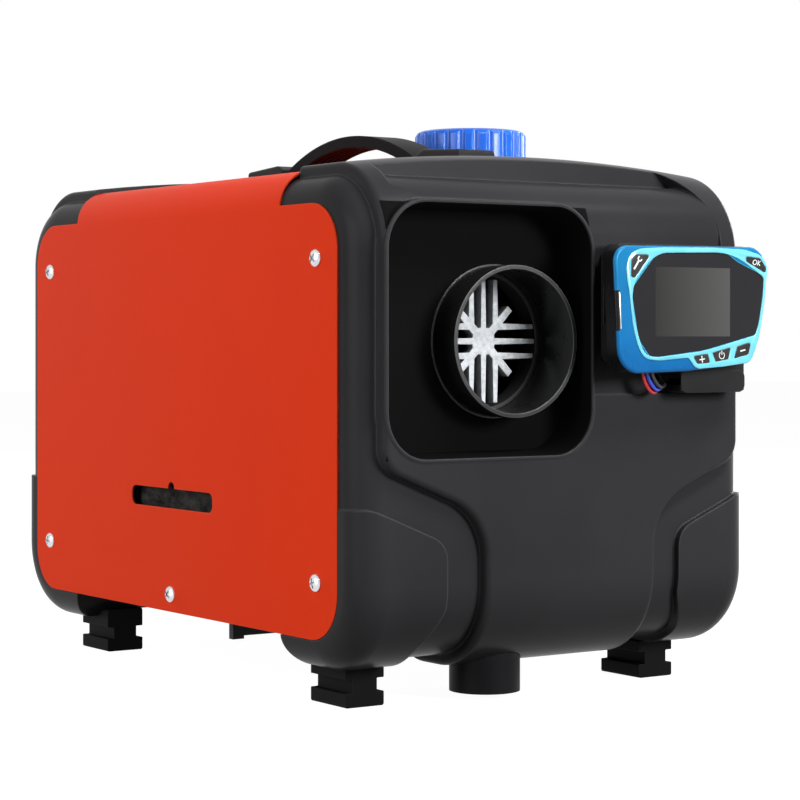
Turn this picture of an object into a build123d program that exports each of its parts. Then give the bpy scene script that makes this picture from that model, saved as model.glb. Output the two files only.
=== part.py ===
from build123d import *

import os
from math import atan2, cos, radians, sin, sqrt, tan

# Portable diesel air heater in a moulded carry case.
# Frame: X to the right, Y to the back, Z up; the origin is on the ground under the middle.
# All sizes are millimetres. The warm air leaves at the front (-Y).

# --- Case: overall form -------------------------------------------------------------------------
case_width = 240.0        # over the two side walls of the steel cover
shell_depth = 354.0       # front to back over the plain faces of the end shells
top_over_axis = 79.7      # plain top of the end shells above the heater's axis
shell_corner = 37.0       # corner radius seen from the side
shell_edge = 15.0         # rounding between a side wall and the front, top or bottom
shell_wall = 3.0
shell_end_gap = 68.0      # from each end of the case to its shell's inner end
toe_radius = 20.0         # lower inner corner of an end shell, seen from the side

# Raised band that runs over each end shell, and its waist at the front
band_inset = 10.5         # band's edge, in from the shell's side
band_proud = 6.0
band_under = 5.5          # how far the band stands below the plain underside
crown_rise = 12.3         # highest line of the band above the plain top
crown_radius = 900.0      # curve of the band's top, seen from the front
crown_shift = 5.0         # its highest line lies to the right of the middle
crown_sweep = 9.0         # degrees of that curve to each side, past the band's edges
crown_foot = 133.0        # height above the band's underside where the curved part starts
band_edge = 3.0           # rounding of the band's edges
waist_half = 52.0
waist_shift = 2.0         # the waist sits a little to the right of the middle
waist_shoulder = 99.0     # above the band's underside
waist_neck = 75.0
waist_shoulder_radius = 14.0
waist_neck_radius = 30.0

# Bumper pads on the lower corners
pad_proud = 3.5
pad_side = 0.8
pad_height = 78.0
pad_top_width = 7.0       # level part of the pad's top edge, from the shell's side
pad_width = 48.0
pad_slope = 17.0          # how far the top edge falls beyond its level part
pad_foot_width = 38.0     # the pad draws back again at the underside
pad_foot_height = 9.0
pad_waist_height = 29.0
pad_radius = 12.0
pad_edge = 2.5            # rounding of the pad's edges

# Sunken panel below the top lip of each end shell
panel_margin = 11.5       # from the band's edge
panel_sunk = 2.0
panel_drop = 1.2          # its top below the plain top
panel_shoulder = 26.0     # rolled shoulder of the panel
panel_ledge_drop = 26.0   # its lower ledge below the heater's axis
panel_corner_right = 35.0
panel_corner_left = 6.0

# Window recess for the air outlet (front) and the air inlet (back)
window_reach_right = 42.0   # from the heater's axis
window_reach_up = 65.0
window_reach_down = 55.0
window_corner = 22.0
window_depth = 23.0       # from the band's face to the recess floor
window_draft = 5.0        # degrees
window_rim = 1.8
window_rim_proud = 0.7
window_rim_bevel = 0.6

# Steel cover
sheet = 1.0
cover_rise = 3.3          # its top above the shells' plain top
cover_fold = 18.0
cover_wall_inset = 16.7   # front and back edge of a side wall, from the shells' plain faces
cover_wall_rise = 11.5    # lower edge of a side wall above the shells' underside
cover_wall_drop = 14.3    # its upper corners below the shells' plain top
cover_wall_corner = 23.0
cover_gap = 0.3
slot_rise = 59.0          # slot above the wall's lower edge
slot_length = 87.0
slot_height = 10.2
slot_corner = 4.0
slot_notch_radius = 3.5

# Cover screws
screw_head_radius = 4.35
screw_head_height = 2.6
screw_shank_radius = 2.0
screw_length = 12.0
screw_inset_y = 18.0      # corner screws, from the wall's front or back edge
screw_inset_top = 26.2    # from the wall's upper corners
screw_inset_low = 27.3
screw_inset_middle = 9.3
boss_radius = 5.0

# Feet
foot_height = 19.0
foot_inset = 17.4         # from the shell's side
foot_width = 22.0
foot_overhang = 1.0       # how far a foot reaches in past the shell's inner end
foot_length = 31.0
foot_neck_inset = 4.0
foot_neck_z = (7.0, 13.5)
foot_edge = 1.2
foot_heel = 4.5           # how far the foot's top climbs the shell's round toe

# Base tray and cross rail
tray_rise = 15.5          # tray above the shells' underside
tray_sheet = 1.2
tray_flange = 16.0
tray_tongue_inset = 24.0
tray_lap = 5.0
sheet_ledge = 6.0         # how far a shell's top ledge reaches under the cover
rail_y = -47.0
rail_sheet = 4.0
rail_leg = 16.0
rail_height = 12.5
rail_inset = 9.0
rail_tab_width = 6.5
rail_tab_drop = 1.6
rail_screw_inset = 13.0

# Screws of the feet, the heater stand and the cross rail
base_screw_radius = 2.5
base_screw_head_radius = 4.5
base_screw_head_height = 3.0
foot_screw_length = 20.0
tray_screw_length = 8.0
screw_gap = 0.05          # between a shank and its hole

# Handle
handle_half_width = 12.0
handle_end_gap = 3.5      # from a block's end to the shell
handle_block_length = 38.5
handle_block_drop = 2.0
handle_block_rise = 2.5   # block's top above its lip
handle_lip = 3.0          # block above the strap where the strap goes in
handle_height = 28.8      # crown of the strap above the cover
handle_rise = 17.3        # from the strap's ends to its crown
handle_thickness = 6.2
handle_side_gap = 0.4     # block beside the strap
handle_cheek = 1.5        # block's wall beside the strap's tongue
handle_tongue_inset = 13.5
handle_tongue_bend = 6.0
handle_seat = 2.0         # block's floor under the tongue
handle_gap = 0.3
handle_groove_radius = 1.0
handle_grooves = 5
handle_screw_radius = 2.5
handle_screw_head_radius = 4.5
handle_screw_head_height = 4.0
handle_screw_reach = 9.0
handle_screw_inset = 8.5

# Fuel tank, filler and cap
tank_casing_gap = 4.0     # between the tank and the heater's casing
tank_side_gap = 5.0       # between the tank and the shell's side
tank_end_gap = 47.0       # from the shells' plain faces
tank_foot_height = 8.8
tank_top_gap = 10.0       # below the cover's top
tank_wall = 3.0
tank_corner = 7.0
tank_foot_inset = 14.5
tank_foot_end = 15.0      # from the tank's ends
tank_foot_length = 30.0
filler_shift = -5.5       # from the middle of the tank
neck_radius = 24.0
neck_wall = 3.5
neck_height = 28.0        # above the cover
neck_hole_gap = 3.0       # cover's hole round the neck
neck_ring_radius = 28.5
neck_ring_gap = 1.0       # ring above the cover
neck_ring_thickness = 3.0
cap_radius = 31.3
cap_skirt_gap = 4.0       # between the skirt and the neck's ring
cap_roof = 4.5
cap_round = 3.0
cap_dish_radius = 20.0
cap_dish = 1.0
cap_flutes = 24
cap_flute_radius = 2.4
cap_flute_depth = 1.2
cap_thread_gap = 0.8
gasket_thickness = 2.5

# Heater's place; its underside sits on the stand
axis_x = -29.0
axis_height = 68.0        # above the foot pad's underside

# Air outlet tube and air inlet grille
outlet_radius = 36.7
outlet_wall = 2.0
outlet_reach = 18.0       # how far the tube stands out of the recess floor
outlet_step = 0.8         # the tube is this much thicker inside the floor's hole
outlet_tail = 11.0        # how far it reaches in behind the recess
outlet_flange_radius = 45.0
outlet_flange = 2.5
grille_radius = 39.3
grille_thickness = 3.0
grille_collar_radius = 36.4
grille_collar_wall = 2.0
grille_collar_reach = 10.0
grille_rings = 4
grille_spokes = 6
grille_bar = 2.0

# Heater casing
casing_radius = 66.0
casing_wall = 2.5
casing_collar_lap = 4.0   # how far the casing's collar reaches into the outlet tube
casing_cone_length = 22.0
casing_cone_gap = 6.0     # between the outlet tube's tail and the cone
casing_mouth_length = 12.8
casing_mouth_gap = 0.2
seat_gap = 0.1            # between a spigot and what it sits in

# Heat exchanger
core_radius = 36.0
core_wall = 5.0
core_length = 159.0
core_flange_radius = 62.0
core_flange = 4.0
fin_lead = 5.0            # front fins stand this far into the outlet tube
fin_length = 32.0
fin_reach = 31.0          # radius that the front fins stay inside
fin_spacing = 7.2
fin_tip_width = 2.2
fin_root_width = 3.4
fin_arm_reach = 22.8
fin_arm_width = 4.8
fin_arm_tip_width = 3.4
fin_hub_radius = 7.1
rib_count = 20
rib_radius = 58.0
rib_width = 2.2
foot_pad_x = (-41.0, 44.0)    # from the heater's axis
foot_pad_y = (24.0, 124.0)    # from the core's front
foot_pad_thickness = 19.0
stud_radius = 3.0
stud_length = 11.0
stud_inset = 8.0
nut_width = 10.0
nut_height = 4.5
mount_gasket_thickness = 1.5
mount_gasket_inset = 2.0

# Heater stand
stand_margin_x = 5.0      # round the foot pad
stand_margin_y = 3.0
stand_height = 66.3       # above the tray
stand_sheet = 1.5
stand_flange = 12.0
stand_screw_inset = 15.0

# Ports under the heater
exhaust_shift = (-16.0, 44.0)   # from the heater's axis, and from the core's front
exhaust_port_radius = 11.0
exhaust_pipe_wall = 1.0
exhaust_tail = 9.0        # pipe's end below the tray
intake_shift = (17.0, 99.0)
intake_port_radius = 10.0
port_wall = 2.0
port_length = 19.0        # below the foot pad
port_lap = 10.0           # how far a pipe or hose is pushed over its port
port_gap = 1.5            # hole in a sheet around a port, pipe or hose
hose_wall = 2.0
hose_drop = 18.0          # level run of the hose below the port's end
exhaust_clamp_width = 7.0
exhaust_clamp_sheet = 1.2
clamp_ear = 7.0

# Intake silencer under the front shell
silencer_x = -24.0
silencer_end_gap = 32.0   # its middle from the shell's plain face
silencer_radius = 17.5
silencer_drop = 13.5      # below the band's underside
silencer_seat = 11.0      # collar's top above the shell's floor
silencer_collar_wall = 3.0
silencer_wall = 2.0
silencer_lip = 1.8        # flange beyond the can
silencer_flange = 2.0
silencer_nipple = 13.5    # above the flange

# Burner, motor and fans
chamber_radius = 27.0
chamber_wall = 2.0
chamber_lead = 24.0       # chamber's front end behind the core's front
chamber_flange_radius = 40.0
chamber_flange = 1.5
chamber_hole_radius = 2.0
chamber_holes = 8
chamber_hole_pitch = 20.0
burner_length = 28.5
burner_radius = 44.0
burner_recess_depth = 11.5
burner_recess_radius = 36.0
motor_radius = 24.0
motor_length = 42.0
motor_band = 1.2
motor_band_edge = 6.0
motor_flange_radius = 42.0
motor_flange = 2.5
shaft_radius = 2.5
shaft_gap = 0.05
shaft_end = 4.0           # beyond the fan and beyond the impeller
impeller_radius = 34.0
impeller_hub_radius = 8.0
impeller_plate = 2.0
impeller_length = 7.0
impeller_gap = 2.0        # to the recess floor
impeller_blades = 12
impeller_blade = 1.2
fan_radius = 52.0
fan_hub_radius = 16.0
fan_blades = 9
fan_blade = 1.8
fan_pitch = 38.0
fan_length = 17.0
fan_gap = 5.0             # between fan and the casing's back
hub_fit = 0.02            # between the shaft and what is pressed on it
control_half_width = 27.0
control_gap = 1.5         # behind the motor's flange
control_length = 38.0
control_seat = 17.0       # underside of the box above the axis
control_height = 29.0
plug_setback = 8.5        # behind the burner's front
plug_radius = 4.0
plug_depth = 22.0
plug_head_radius = 6.0
plug_head_height = 8.0

# Fuel pump, filter and lines
pump_x = -30.0
pump_height = 26.8        # above the tray
pump_y = (62.0, 112.0)
pump_radius = 14.0
pump_neck_radius = 6.0
pump_neck_length = 8.0
plunger_radius = 4.45
plunger_length = 18.0
plunger_inset = 12.0
plunger_stroke = 3.0
plunger_gap = 0.05
pump_clamp_inset = 20.0
pump_clamp_width = 14.0
pump_clamp_sheet = 1.5
pump_clamp_foot = 12.0
filter_tank_gap = 11.0    # filter's middle from the tank's wall
filter_height = 20.8      # above the tray
filter_y = (46.0, 86.0)
filter_radius = 8.0
filter_taper = 5.0
tank_outlet_y = 20.0
elbow_radius = 4.0
elbow_length = 5.0
burner_inlet_shift = -13.0
burner_inlet_drop = 59.0  # its end below the heater's axis
line_radius = 2.5
nipple_radius = 1.6
nipple_bore = 0.8
nipple_length = 10.0
nipple_gap = 0.05
nipple_lap = 7.0          # how far a line is pushed over a nipple

# Controller on its bracket at the right of the front; its outlines are in hundredths of these sizes
controller_width = 100.0
controller_height = 64.0
controller_lap = 4.0      # controller's left edge in front of the window
controller_drop = 16.0    # its lower left corner below the heater's axis
controller_stand = 24.0   # its face in front of the panel
bezel_depth = 9.0
bezel_face = 3.0
bezel_wall = 2.0
bezel_round = 1.5
glass_sunk = 0.6
glass_thickness = 1.2
glass_ledge = 1.2
glass_gap = 0.15
screen_thickness = 3.0
case_corner = 7.0
case_wall = 2.0
clip_depth = 1.5          # recess with a spring clip in each side of the back case
clip_height = 19.0
clip_length = 5.0
button_proud = 0.4
button_gap = 0.2
button_length = 4.0
bracket_plate = 6.0
bracket_inset = 4.0
bracket_gap = 0.3         # beside the rib at the panel's edge
block_reach = 14.0        # block under the controller, out from the panel
block_width = 42.0
block_height = 11.1
block_corner = 4.0

# Wires between controller and front shell
wire_radius = 0.9
wire_step = 1.4
wire_hole_radius = 4.4
wire_port_width = 10.5

# Cable gland in the rear shell
gland_x = 62.0
gland_z = 128.0
gland_bore_radius = 3.5
gland_thread_radius = 8.0
gland_width = 20.0
gland_flange = 5.0
gland_nose = 17.4
gland_nut = 5.0

# Insulation mat behind the left wall
mat_gap = 0.3
mat_thickness = 9.0
mat_end_gap = 5.0         # from the shells' inner ends
mat_rise = 32.0           # above the cover wall's lower edge
mat_drop = 14.4           # below the cover wall's upper corners
mat_corner = 12.0
mat_hollow = 5.0          # depth of the hollow in the mat behind the slot
mat_hollow_margin = 4.0

# --- Values that follow -------------------------------------------------------------------------
cover_half_x = case_width / 2
shell_half_x = cover_half_x - sheet
shell_half_y = shell_depth / 2
shell_end_y = shell_half_y - shell_end_gap
band_half_width = shell_half_x - band_inset
band_half_y = shell_half_y + band_proud
shell_bottom = foot_height + pad_proud
band_bottom = shell_bottom - band_under
floor_top = shell_bottom + shell_wall
tray_z = shell_bottom + tray_rise
tray_top = tray_z + tray_sheet

stand_top = tray_top + stand_height
pad_underside = stand_top + mount_gasket_thickness
axis_z = pad_underside + axis_height
shell_top = axis_z + top_over_axis
band_crown = shell_top + crown_rise
cover_top = shell_top + cover_rise

panel_y = band_half_y - panel_sunk
panel_top = shell_top - panel_drop
panel_half_width = band_half_width - panel_margin
panel_ledge_z = axis_z - panel_ledge_drop
lip_y = panel_y - panel_shoulder
recess_floor_y = band_half_y - window_depth
recess_back_y = recess_floor_y - shell_wall
window_x = (-band_half_width + window_rim, axis_x + window_reach_right)
window_z = (axis_z - window_reach_down, axis_z + window_reach_up)

cover_wall_half_y = shell_half_y - cover_wall_inset
cover_wall_bottom = shell_bottom + cover_wall_rise
cover_wall_top = shell_top - cover_wall_drop
slot_z = cover_wall_bottom + slot_rise
screw_corner_y = cover_wall_half_y - screw_inset_y
screw_high_z = cover_wall_top - screw_inset_top
screw_low_z = cover_wall_bottom + screw_inset_low
screw_middle_z = cover_wall_bottom + screw_inset_middle
foot_x = (shell_half_x - foot_inset - foot_width, shell_half_x - foot_inset)
foot_y = (shell_end_y - foot_overhang, shell_end_y - foot_overhang + foot_length)
rail_half_length = shell_half_x - rail_inset
rail_bottom = tray_z - rail_height

handle_end_y = shell_end_y - handle_end_gap
handle_seam_y = handle_end_y - handle_block_length
handle_crown = cover_top + handle_height
handle_mouth = handle_crown - handle_rise + handle_lip
handle_block_top = handle_mouth + handle_block_rise
handle_screw_y = handle_end_y - handle_screw_inset

tank_x = (axis_x + casing_radius + tank_casing_gap, shell_half_x - tank_side_gap)
tank_half_y = shell_half_y - tank_end_gap
tank_bottom = tray_top + tank_foot_height
tank_top = cover_top - tank_top_gap
filler_x = sum(tank_x) / 2 + filler_shift
neck_top = cover_top + neck_height
neck_ring_z = (cover_top + neck_ring_gap, cover_top + neck_ring_gap + neck_ring_thickness)
cap_skirt_bottom = neck_ring_z[1] + cap_skirt_gap
cap_top = neck_top + gasket_thickness + cap_roof

outlet_bore = outlet_radius - outlet_wall
outlet_rim_y = -recess_floor_y - outlet_reach
outlet_tail_y = -recess_back_y + outlet_tail
fin_face_y = outlet_tail_y - fin_lead
core_front_y = fin_face_y + fin_length
core_back_y = core_front_y + core_length
casing_front_y = outlet_tail_y - casing_collar_lap
casing_cone_y = (outlet_tail_y + casing_cone_gap, outlet_tail_y + casing_cone_gap + casing_cone_length)
casing_mouth_y = recess_back_y - casing_mouth_gap
casing_back_y = casing_mouth_y - casing_mouth_length
casing_mouth_radius = grille_collar_radius + seat_gap + casing_wall
grille_bore = grille_collar_radius - grille_collar_wall
pad_x = (axis_x + foot_pad_x[0], axis_x + foot_pad_x[1])
pad_y = (core_front_y + foot_pad_y[0], core_front_y + foot_pad_y[1])
pad_z = (pad_underside, pad_underside + foot_pad_thickness)
stand_x = (pad_x[0] - stand_margin_x, pad_x[1] + stand_margin_x)
stand_y = (pad_y[0] - stand_margin_y, pad_y[1] + stand_margin_y)

exhaust_x, exhaust_y = axis_x + exhaust_shift[0], core_front_y + exhaust_shift[1]
intake_x, intake_y = axis_x + intake_shift[0], core_front_y + intake_shift[1]
exhaust_bore = exhaust_port_radius + seat_gap
exhaust_pipe_radius = exhaust_bore + exhaust_pipe_wall
exhaust_pipe_bottom = tray_z - exhaust_tail
port_bottom = pad_underside - port_length
hose_bore = intake_port_radius + seat_gap
hose_radius = hose_bore + hose_wall
hose_level = port_bottom - hose_drop
silencer_y = -shell_half_y + silencer_end_gap
silencer_bottom = band_bottom - silencer_drop
silencer_seat_z = floor_top + silencer_seat
silencer_roof = silencer_seat_z + silencer_flange
silencer_nipple_top = silencer_roof + silencer_nipple

burner_y = (core_back_y + chamber_flange, core_back_y + chamber_flange + burner_length)
motor_y = (burner_y[1], burner_y[1] + motor_length)
impeller_y = burner_y[1] - burner_recess_depth + impeller_gap
fan_y = (casing_back_y - fan_gap - fan_length, casing_back_y - fan_gap)
control_y = (motor_y[0] + motor_flange + control_gap,
             motor_y[0] + motor_flange + control_gap + control_length)
plug_y = burner_y[0] + plug_setback

pump_z = tray_top + pump_height
filter_x = tank_x[0] - filter_tank_gap
filter_z = tray_top + filter_height
burner_inlet_x = axis_x + burner_inlet_shift
burner_inlet_z = axis_z - burner_inlet_drop

controller_x = window_x[1] - controller_lap
controller_z = axis_z - controller_drop
controller_front_y = -panel_y - controller_stand
case_front_y = controller_front_y + bezel_depth
case_back_y = -panel_y - bracket_plate
case_floor_y = case_back_y - case_wall


# --- Shared forms -------------------------------------------------------------------------------
def span_box(x, y, z):
    """Box from three low-high pairs."""
    middle = Pos((x[0] + x[1]) / 2, (y[0] + y[1]) / 2, (z[0] + z[1]) / 2)
    return middle * Box(x[1] - x[0], y[1] - y[0], z[1] - z[0])


def slab_y(sketch, y_low, y_high):
    """Sketch drawn in (X, Z), made solid between two Y planes."""
    return extrude(Plane.XZ.offset(-y_high) * sketch, y_high - y_low)


def slab_x(sketch, x_low, x_high):
    """Sketch drawn in (Y, Z), made solid between two X planes."""
    return extrude(Plane.YZ.offset(x_low) * sketch, x_high - x_low)


def slab_z(sketch, z_low, z_high):
    """Sketch drawn in (X, Y), made solid between two heights."""
    return extrude(Plane.XY.offset(z_low) * sketch, z_high - z_low)


def rounded_area(u, v, radius):
    """Rounded rectangle from two low-high pairs."""
    middle = Pos((u[0] + u[1]) / 2, (v[0] + v[1]) / 2)
    return middle * RectangleRounded(u[1] - u[0], v[1] - v[0], radius)


def outline(points, radii):
    """Closed outline with one corner radius for each point."""
    return make_face(FilletPolyline(*points, radius=radii, close=True))


def rod_x(y, z, radius, x_low, x_high):
    return slab_x(Pos(y, z) * Circle(radius), x_low, x_high)


def rod_y(x, z, radius, y_low, y_high):
    return slab_y(Pos(x, z) * Circle(radius), y_low, y_high)


def rod_z(x, y, radius, z_low, z_high):
    return slab_z(Pos(x, y) * Circle(radius), z_low, z_high)


def pipe_y(x, z, radius, bore, y_low, y_high):
    return slab_y(Pos(x, z) * (Circle(radius) - Circle(bore)), y_low, y_high)


def pipe_z(x, y, radius, bore, z_low, z_high):
    return slab_z(Pos(x, y) * (Circle(radius) - Circle(bore)), z_low, z_high)


def turned_y(points, x=axis_x, z=axis_z):
    """Turned piece about an axis along Y; points are (radius, y)."""
    plane = Plane((x, 0, z), x_dir=(1, 0, 0), z_dir=(0, 0, 1))
    face = make_face(Polyline(*points, close=True))
    return revolve(plane * face, Axis((x, 0, z), (0, 1, 0)))


def turned_z(points, x, y):
    """Turned piece about an axis along Z; points are (radius, z)."""
    plane = Plane((x, y, 0), x_dir=(1, 0, 0), z_dir=(0, -1, 0))
    face = make_face(Polyline(*points, close=True))
    return revolve(plane * face, Axis((x, y, 0), (0, 0, 1)))


def bent_tube(name, points, radii, radius, bore=0.0):
    """Tube along straight runs joined by arcs; prints its bend radii."""
    path = FilletPolyline(*points, radius=radii)
    start = Plane(path @ 0, z_dir=path % 0)
    ring = Circle(radius) - Circle(bore) if bore else Circle(radius)
    print(name, "bend radii", [round(value, 1) for value in radii], "length", round(path.length, 1))
    return sweep(start * ring, path=path)


def bend_radii(points):
    """Largest even bends: 0.45 of the shorter run over the tangent of half the turn."""
    radii = []
    for before, here, after in zip(points, points[1:], points[2:]):
        run_in = Vector(*here) - Vector(*before)
        run_out = Vector(*after) - Vector(*here)
        half_turn = radians(run_in.get_angle(run_out)) / 2
        radii.append(0.45 * min(run_in.length, run_out.length) / tan(half_turn))
    return radii


def rear(solid):
    """The same form at the back of the case."""
    return mirror(solid, about=Plane.XZ)


# --- End shells ---------------------------------------------------------------------------------
def rounded_case(half_x, half_y, bottom, top, corner, edge):
    """Plain case: side profile with round corners, and both side rims rounded."""
    profile = rounded_area((-half_y, half_y), (bottom, top), corner)
    solid = extrude(Plane.YZ * profile, half_x, both=True)
    sides = solid.faces().sort_by(Axis.X)
    return fillet(sides[0].edges() + sides[-1].edges(), edge)


def band_walls(low, high):
    """Front view of the band: full width above, drawn in to a waist below."""
    left, right = waist_shift - waist_half, waist_shift + waist_half
    shoulder, neck = band_bottom + waist_shoulder, band_bottom + waist_neck
    points = [(-band_half_width, high), (-band_half_width, shoulder), (left, neck), (left, low),
              (right, low), (right, neck), (band_half_width, shoulder), (band_half_width, high)]
    bends = [waist_shoulder_radius, waist_neck_radius]
    return outline(points, [0] + bends + [0, 0] + bends[::-1] + [0])


def crowned_top(profile, low):
    """Upper part of the band: its side profile swept on a wide arc across the case."""
    centre = Axis((crown_shift, 0, band_crown - crown_radius), (0, 1, 0))
    upper = Plane.YZ * (profile & rounded_area((-band_half_y - 1, band_half_y + 1), (low, band_crown + 1),
                                               0.1))
    swept = revolve((Pos(crown_shift, 0, 0) * upper).rotate(centre, -crown_sweep), centre, 2 * crown_sweep)
    return swept & span_box((-case_width, case_width), (-band_half_y - 1, band_half_y + 1),
                            (low + 1, band_crown + 1))


def band():
    """Raised band over the front end of the case, with its edges rounded."""
    profile = rounded_area((-band_half_y, band_half_y), (band_bottom, band_crown), shell_corner + band_proud)
    split = band_bottom + crown_foot
    above = Pos(0, split + 1 + band_crown) * Rectangle(case_width * 2, 2 * band_crown)
    plain = extrude(Plane.YZ * (profile - above), band_half_width + 1, both=True)
    solid = plain + crowned_top(profile, split)
    solid = solid & slab_y(band_walls(band_bottom - 1, band_crown + 2), -band_half_y - 1, -shell_end_y)
    return fillet(outer_rims(solid), band_edge)


def outer_rims(solid):
    """Edges between the upright walls of a raised form and its outer faces."""
    walls, skins = [], []
    for face in solid.faces():
        way = face.normal_at(face.center())
        if abs(way.Y) < 0.02 and abs(way.Z) < 0.98 and face.bounding_box().size.Y > shell_corner / 2:
            walls.append(face)
        elif way.Y < 0.5:
            skins.append(face)
    marks = [edge.center() for face in walls for edge in face.edges()]
    rims = [edge for face in skins for edge in face.edges()]
    return [edge for edge in rims if any((edge.center() - mark).length < 0.001 for mark in marks)]


def pad_outline(side):
    """Front view of one bumper pad; side is -1 on the left, 1 on the right."""
    edge, top = shell_half_x + 10, foot_height + pad_height
    points = [(edge, top), (shell_half_x - pad_top_width, top), (shell_half_x - pad_width, top - pad_slope),
              (shell_half_x - pad_width, foot_height + pad_waist_height),
              (shell_half_x - pad_foot_width, foot_height + pad_foot_height),
              (shell_half_x - pad_foot_width, 0), (edge, 0)]
    return outline([(side * x, z) for x, z in points],
                   [0, pad_radius, pad_radius, pad_radius, pad_radius, 0, 0])


def cover_wall_outline(grow=0.0):
    """Side view of the cover's flat side wall."""
    half = cover_wall_half_y + grow
    return rounded_area((-half, half), (cover_wall_bottom - grow, cover_wall_top + grow),
                        cover_wall_corner + grow)


def pads():
    """Bumper pads on both lower corners, with their edges rounded."""
    grown = rounded_case(shell_half_x + pad_side, shell_half_y + pad_proud, foot_height, shell_top,
                         shell_corner + pad_proud, shell_edge)
    pair = grown & slab_y(pad_outline(-1) + pad_outline(1), -band_half_y, -shell_end_y)
    solid = Part()
    for pad in pair.solids():
        solid += fillet(outer_rims(pad), pad_edge)
    return solid


def cover_seats():
    """Room beside the shells where the cover's walls lie."""
    wall = cover_wall_outline(cover_gap)
    return slab_x(wall, -cover_half_x, -shell_half_x) + slab_x(wall, shell_half_x, cover_half_x)


def end_profile(inset, bottom, reach):
    """Side view of the space an end shell fills, up to its inner end with the round toe."""
    end = -shell_end_y - inset
    toe = toe_radius - inset
    points = [(-band_half_y - 1, bottom), (end, bottom), (end, reach), (-band_half_y - 1, reach)]
    return outline(points, [0, toe, 0, 0])


def panel_cut():
    """What is cut away above and in front of the sunken panel."""
    width = panel_half_width
    reach = band_crown + 5
    arc_top = band_crown - band_proud + 3
    centre_x = width - panel_corner_right
    front = [(-width, panel_ledge_z), (width, panel_ledge_z), (width, arc_top), (centre_x, arc_top),
             (centre_x, reach), (-width, reach)]
    tool = slab_y(outline(front, [0, 0, panel_corner_right - 0.5, 0, 0, panel_corner_left]),
                  -band_half_y - 5, -lip_y)
    profile = rounded_area((-panel_y, 0), (panel_ledge_z - 60, panel_top), panel_shoulder)
    return tool - slab_x(profile, -width - 1, width + 1)


def window_area(grow=0.0):
    low, high = window_x, window_z
    return rounded_area((low[0] - grow, low[1] + grow), (high[0] - grow, high[1] + grow),
                        window_corner + grow)


def window_walls():
    """Solid around the window recess: its floor, its side walls and a thin bevelled rim."""
    rim = slab_y(window_area(window_rim), -band_half_y - window_rim_proud, -shell_half_y + shell_wall)
    rim = chamfer(rim.faces().sort_by(Axis.Y)[0].edges(), window_rim_bevel)
    box = slab_y(window_area(shell_wall - 0.5), -shell_half_y, -recess_back_y)
    return rim + box


def window_space():
    """The recess itself, narrowing inwards."""
    mouth = Plane.XZ.offset(band_half_y + window_rim_proud) * window_area()
    return extrude(mouth, -(window_depth + window_rim_proud), taper=window_draft)


def shell_space():
    """Inside of an end shell: the wall's thickness all round, open at the inner end above the sill."""
    inside = rounded_case(shell_half_x - shell_wall, shell_half_y - shell_wall, floor_top,
                          shell_top - shell_wall,
                          shell_corner - shell_wall, shell_edge - shell_wall)
    toe = slab_x(end_profile(shell_wall, band_bottom + shell_wall, shell_top), -case_width, case_width)
    above_sill = span_box((-case_width, case_width), (-case_width, -shell_end_y + 1), (tray_z, shell_top))
    return inside & (toe + above_sill)


def screw_bosses():
    """Bosses for the two cover screws on each side wall."""
    bosses = Part()
    for z in (screw_low_z, screw_high_z):
        for x in (-shell_half_x, shell_half_x - screw_length - 1):
            bosses += rod_x(-screw_corner_y, z, boss_radius, x, x + screw_length + 1)
    return bosses


def screw_holes():
    holes = Part()
    for z in (screw_low_z, screw_high_z):
        holes += rod_x(-screw_corner_y, z, screw_shank_radius + screw_gap, -case_width, case_width)
    return holes


def foot_holes():
    holes = Part()
    x, y = foot_screw_place()
    for side in (-1, 1):
        holes += rod_z(side * x, -y, base_screw_radius + screw_gap, 0, floor_top + 20)
    return holes


def sheet_tongue():
    """Ledge at the shell's top inner end that carries the cover's edge."""
    half = band_half_width - 12
    return span_box((-half, half), (-shell_end_y - shell_wall, -shell_end_y + sheet_ledge),
                    (shell_top - shell_wall, cover_top - sheet))


def end_shell():
    """One moulded end shell, drawn at the front: plain case, band, pads, panel and window recess."""
    plain = rounded_case(shell_half_x, shell_half_y, shell_bottom, shell_top, shell_corner, shell_edge)
    zone = slab_x(end_profile(0, band_bottom, band_crown + 5), -case_width, case_width)
    body = ((plain + band() + pads()) & zone) - cover_seats()
    body = body - panel_cut()
    body = body + window_walls()
    body = body - shell_space()
    body = body + (slab_y(window_area(shell_wall - 0.5), -shell_half_y, -recess_back_y) & plain)
    body = body + screw_bosses() + sheet_tongue()
    return body - window_space() - screw_holes() - foot_holes()


def front_shell():
    """End shell with the outlet's hole, the silencer's collar and the hole for the wires."""
    outlet_hole = rod_y(axis_x, axis_z, outlet_radius + outlet_step + seat_gap, -recess_floor_y - 1,
                        -recess_back_y + 1)
    bore = silencer_radius + seat_gap
    collar = rod_z(silencer_x, silencer_y, silencer_radius + silencer_collar_wall, floor_top - 1,
                   silencer_seat_z)
    plain = rounded_case(shell_half_x, shell_half_y, shell_bottom, shell_top, shell_corner, shell_edge)
    silencer_hole = rod_z(silencer_x, silencer_y, bore, 0, silencer_seat_z + 8)
    x, z = wire_hole()
    wire_way = rod_y(x, z, wire_hole_radius, -band_half_y - 1, -shell_half_y + shell_wall + 1)
    return end_shell() + (collar & plain) - outlet_hole - silencer_hole - wire_way


def rear_shell():
    """End shell with the holes for the inlet grille and the cable gland."""
    inlet_hole = rod_y(axis_x, axis_z, grille_collar_radius + seat_gap, recess_back_y - 1, recess_floor_y + 1)
    gland_hole = rod_y(gland_x, gland_z, gland_thread_radius + seat_gap, shell_half_y - shell_wall - 1,
                       band_half_y + 1)
    return rear(end_shell()) - inlet_hole - gland_hole


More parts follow.
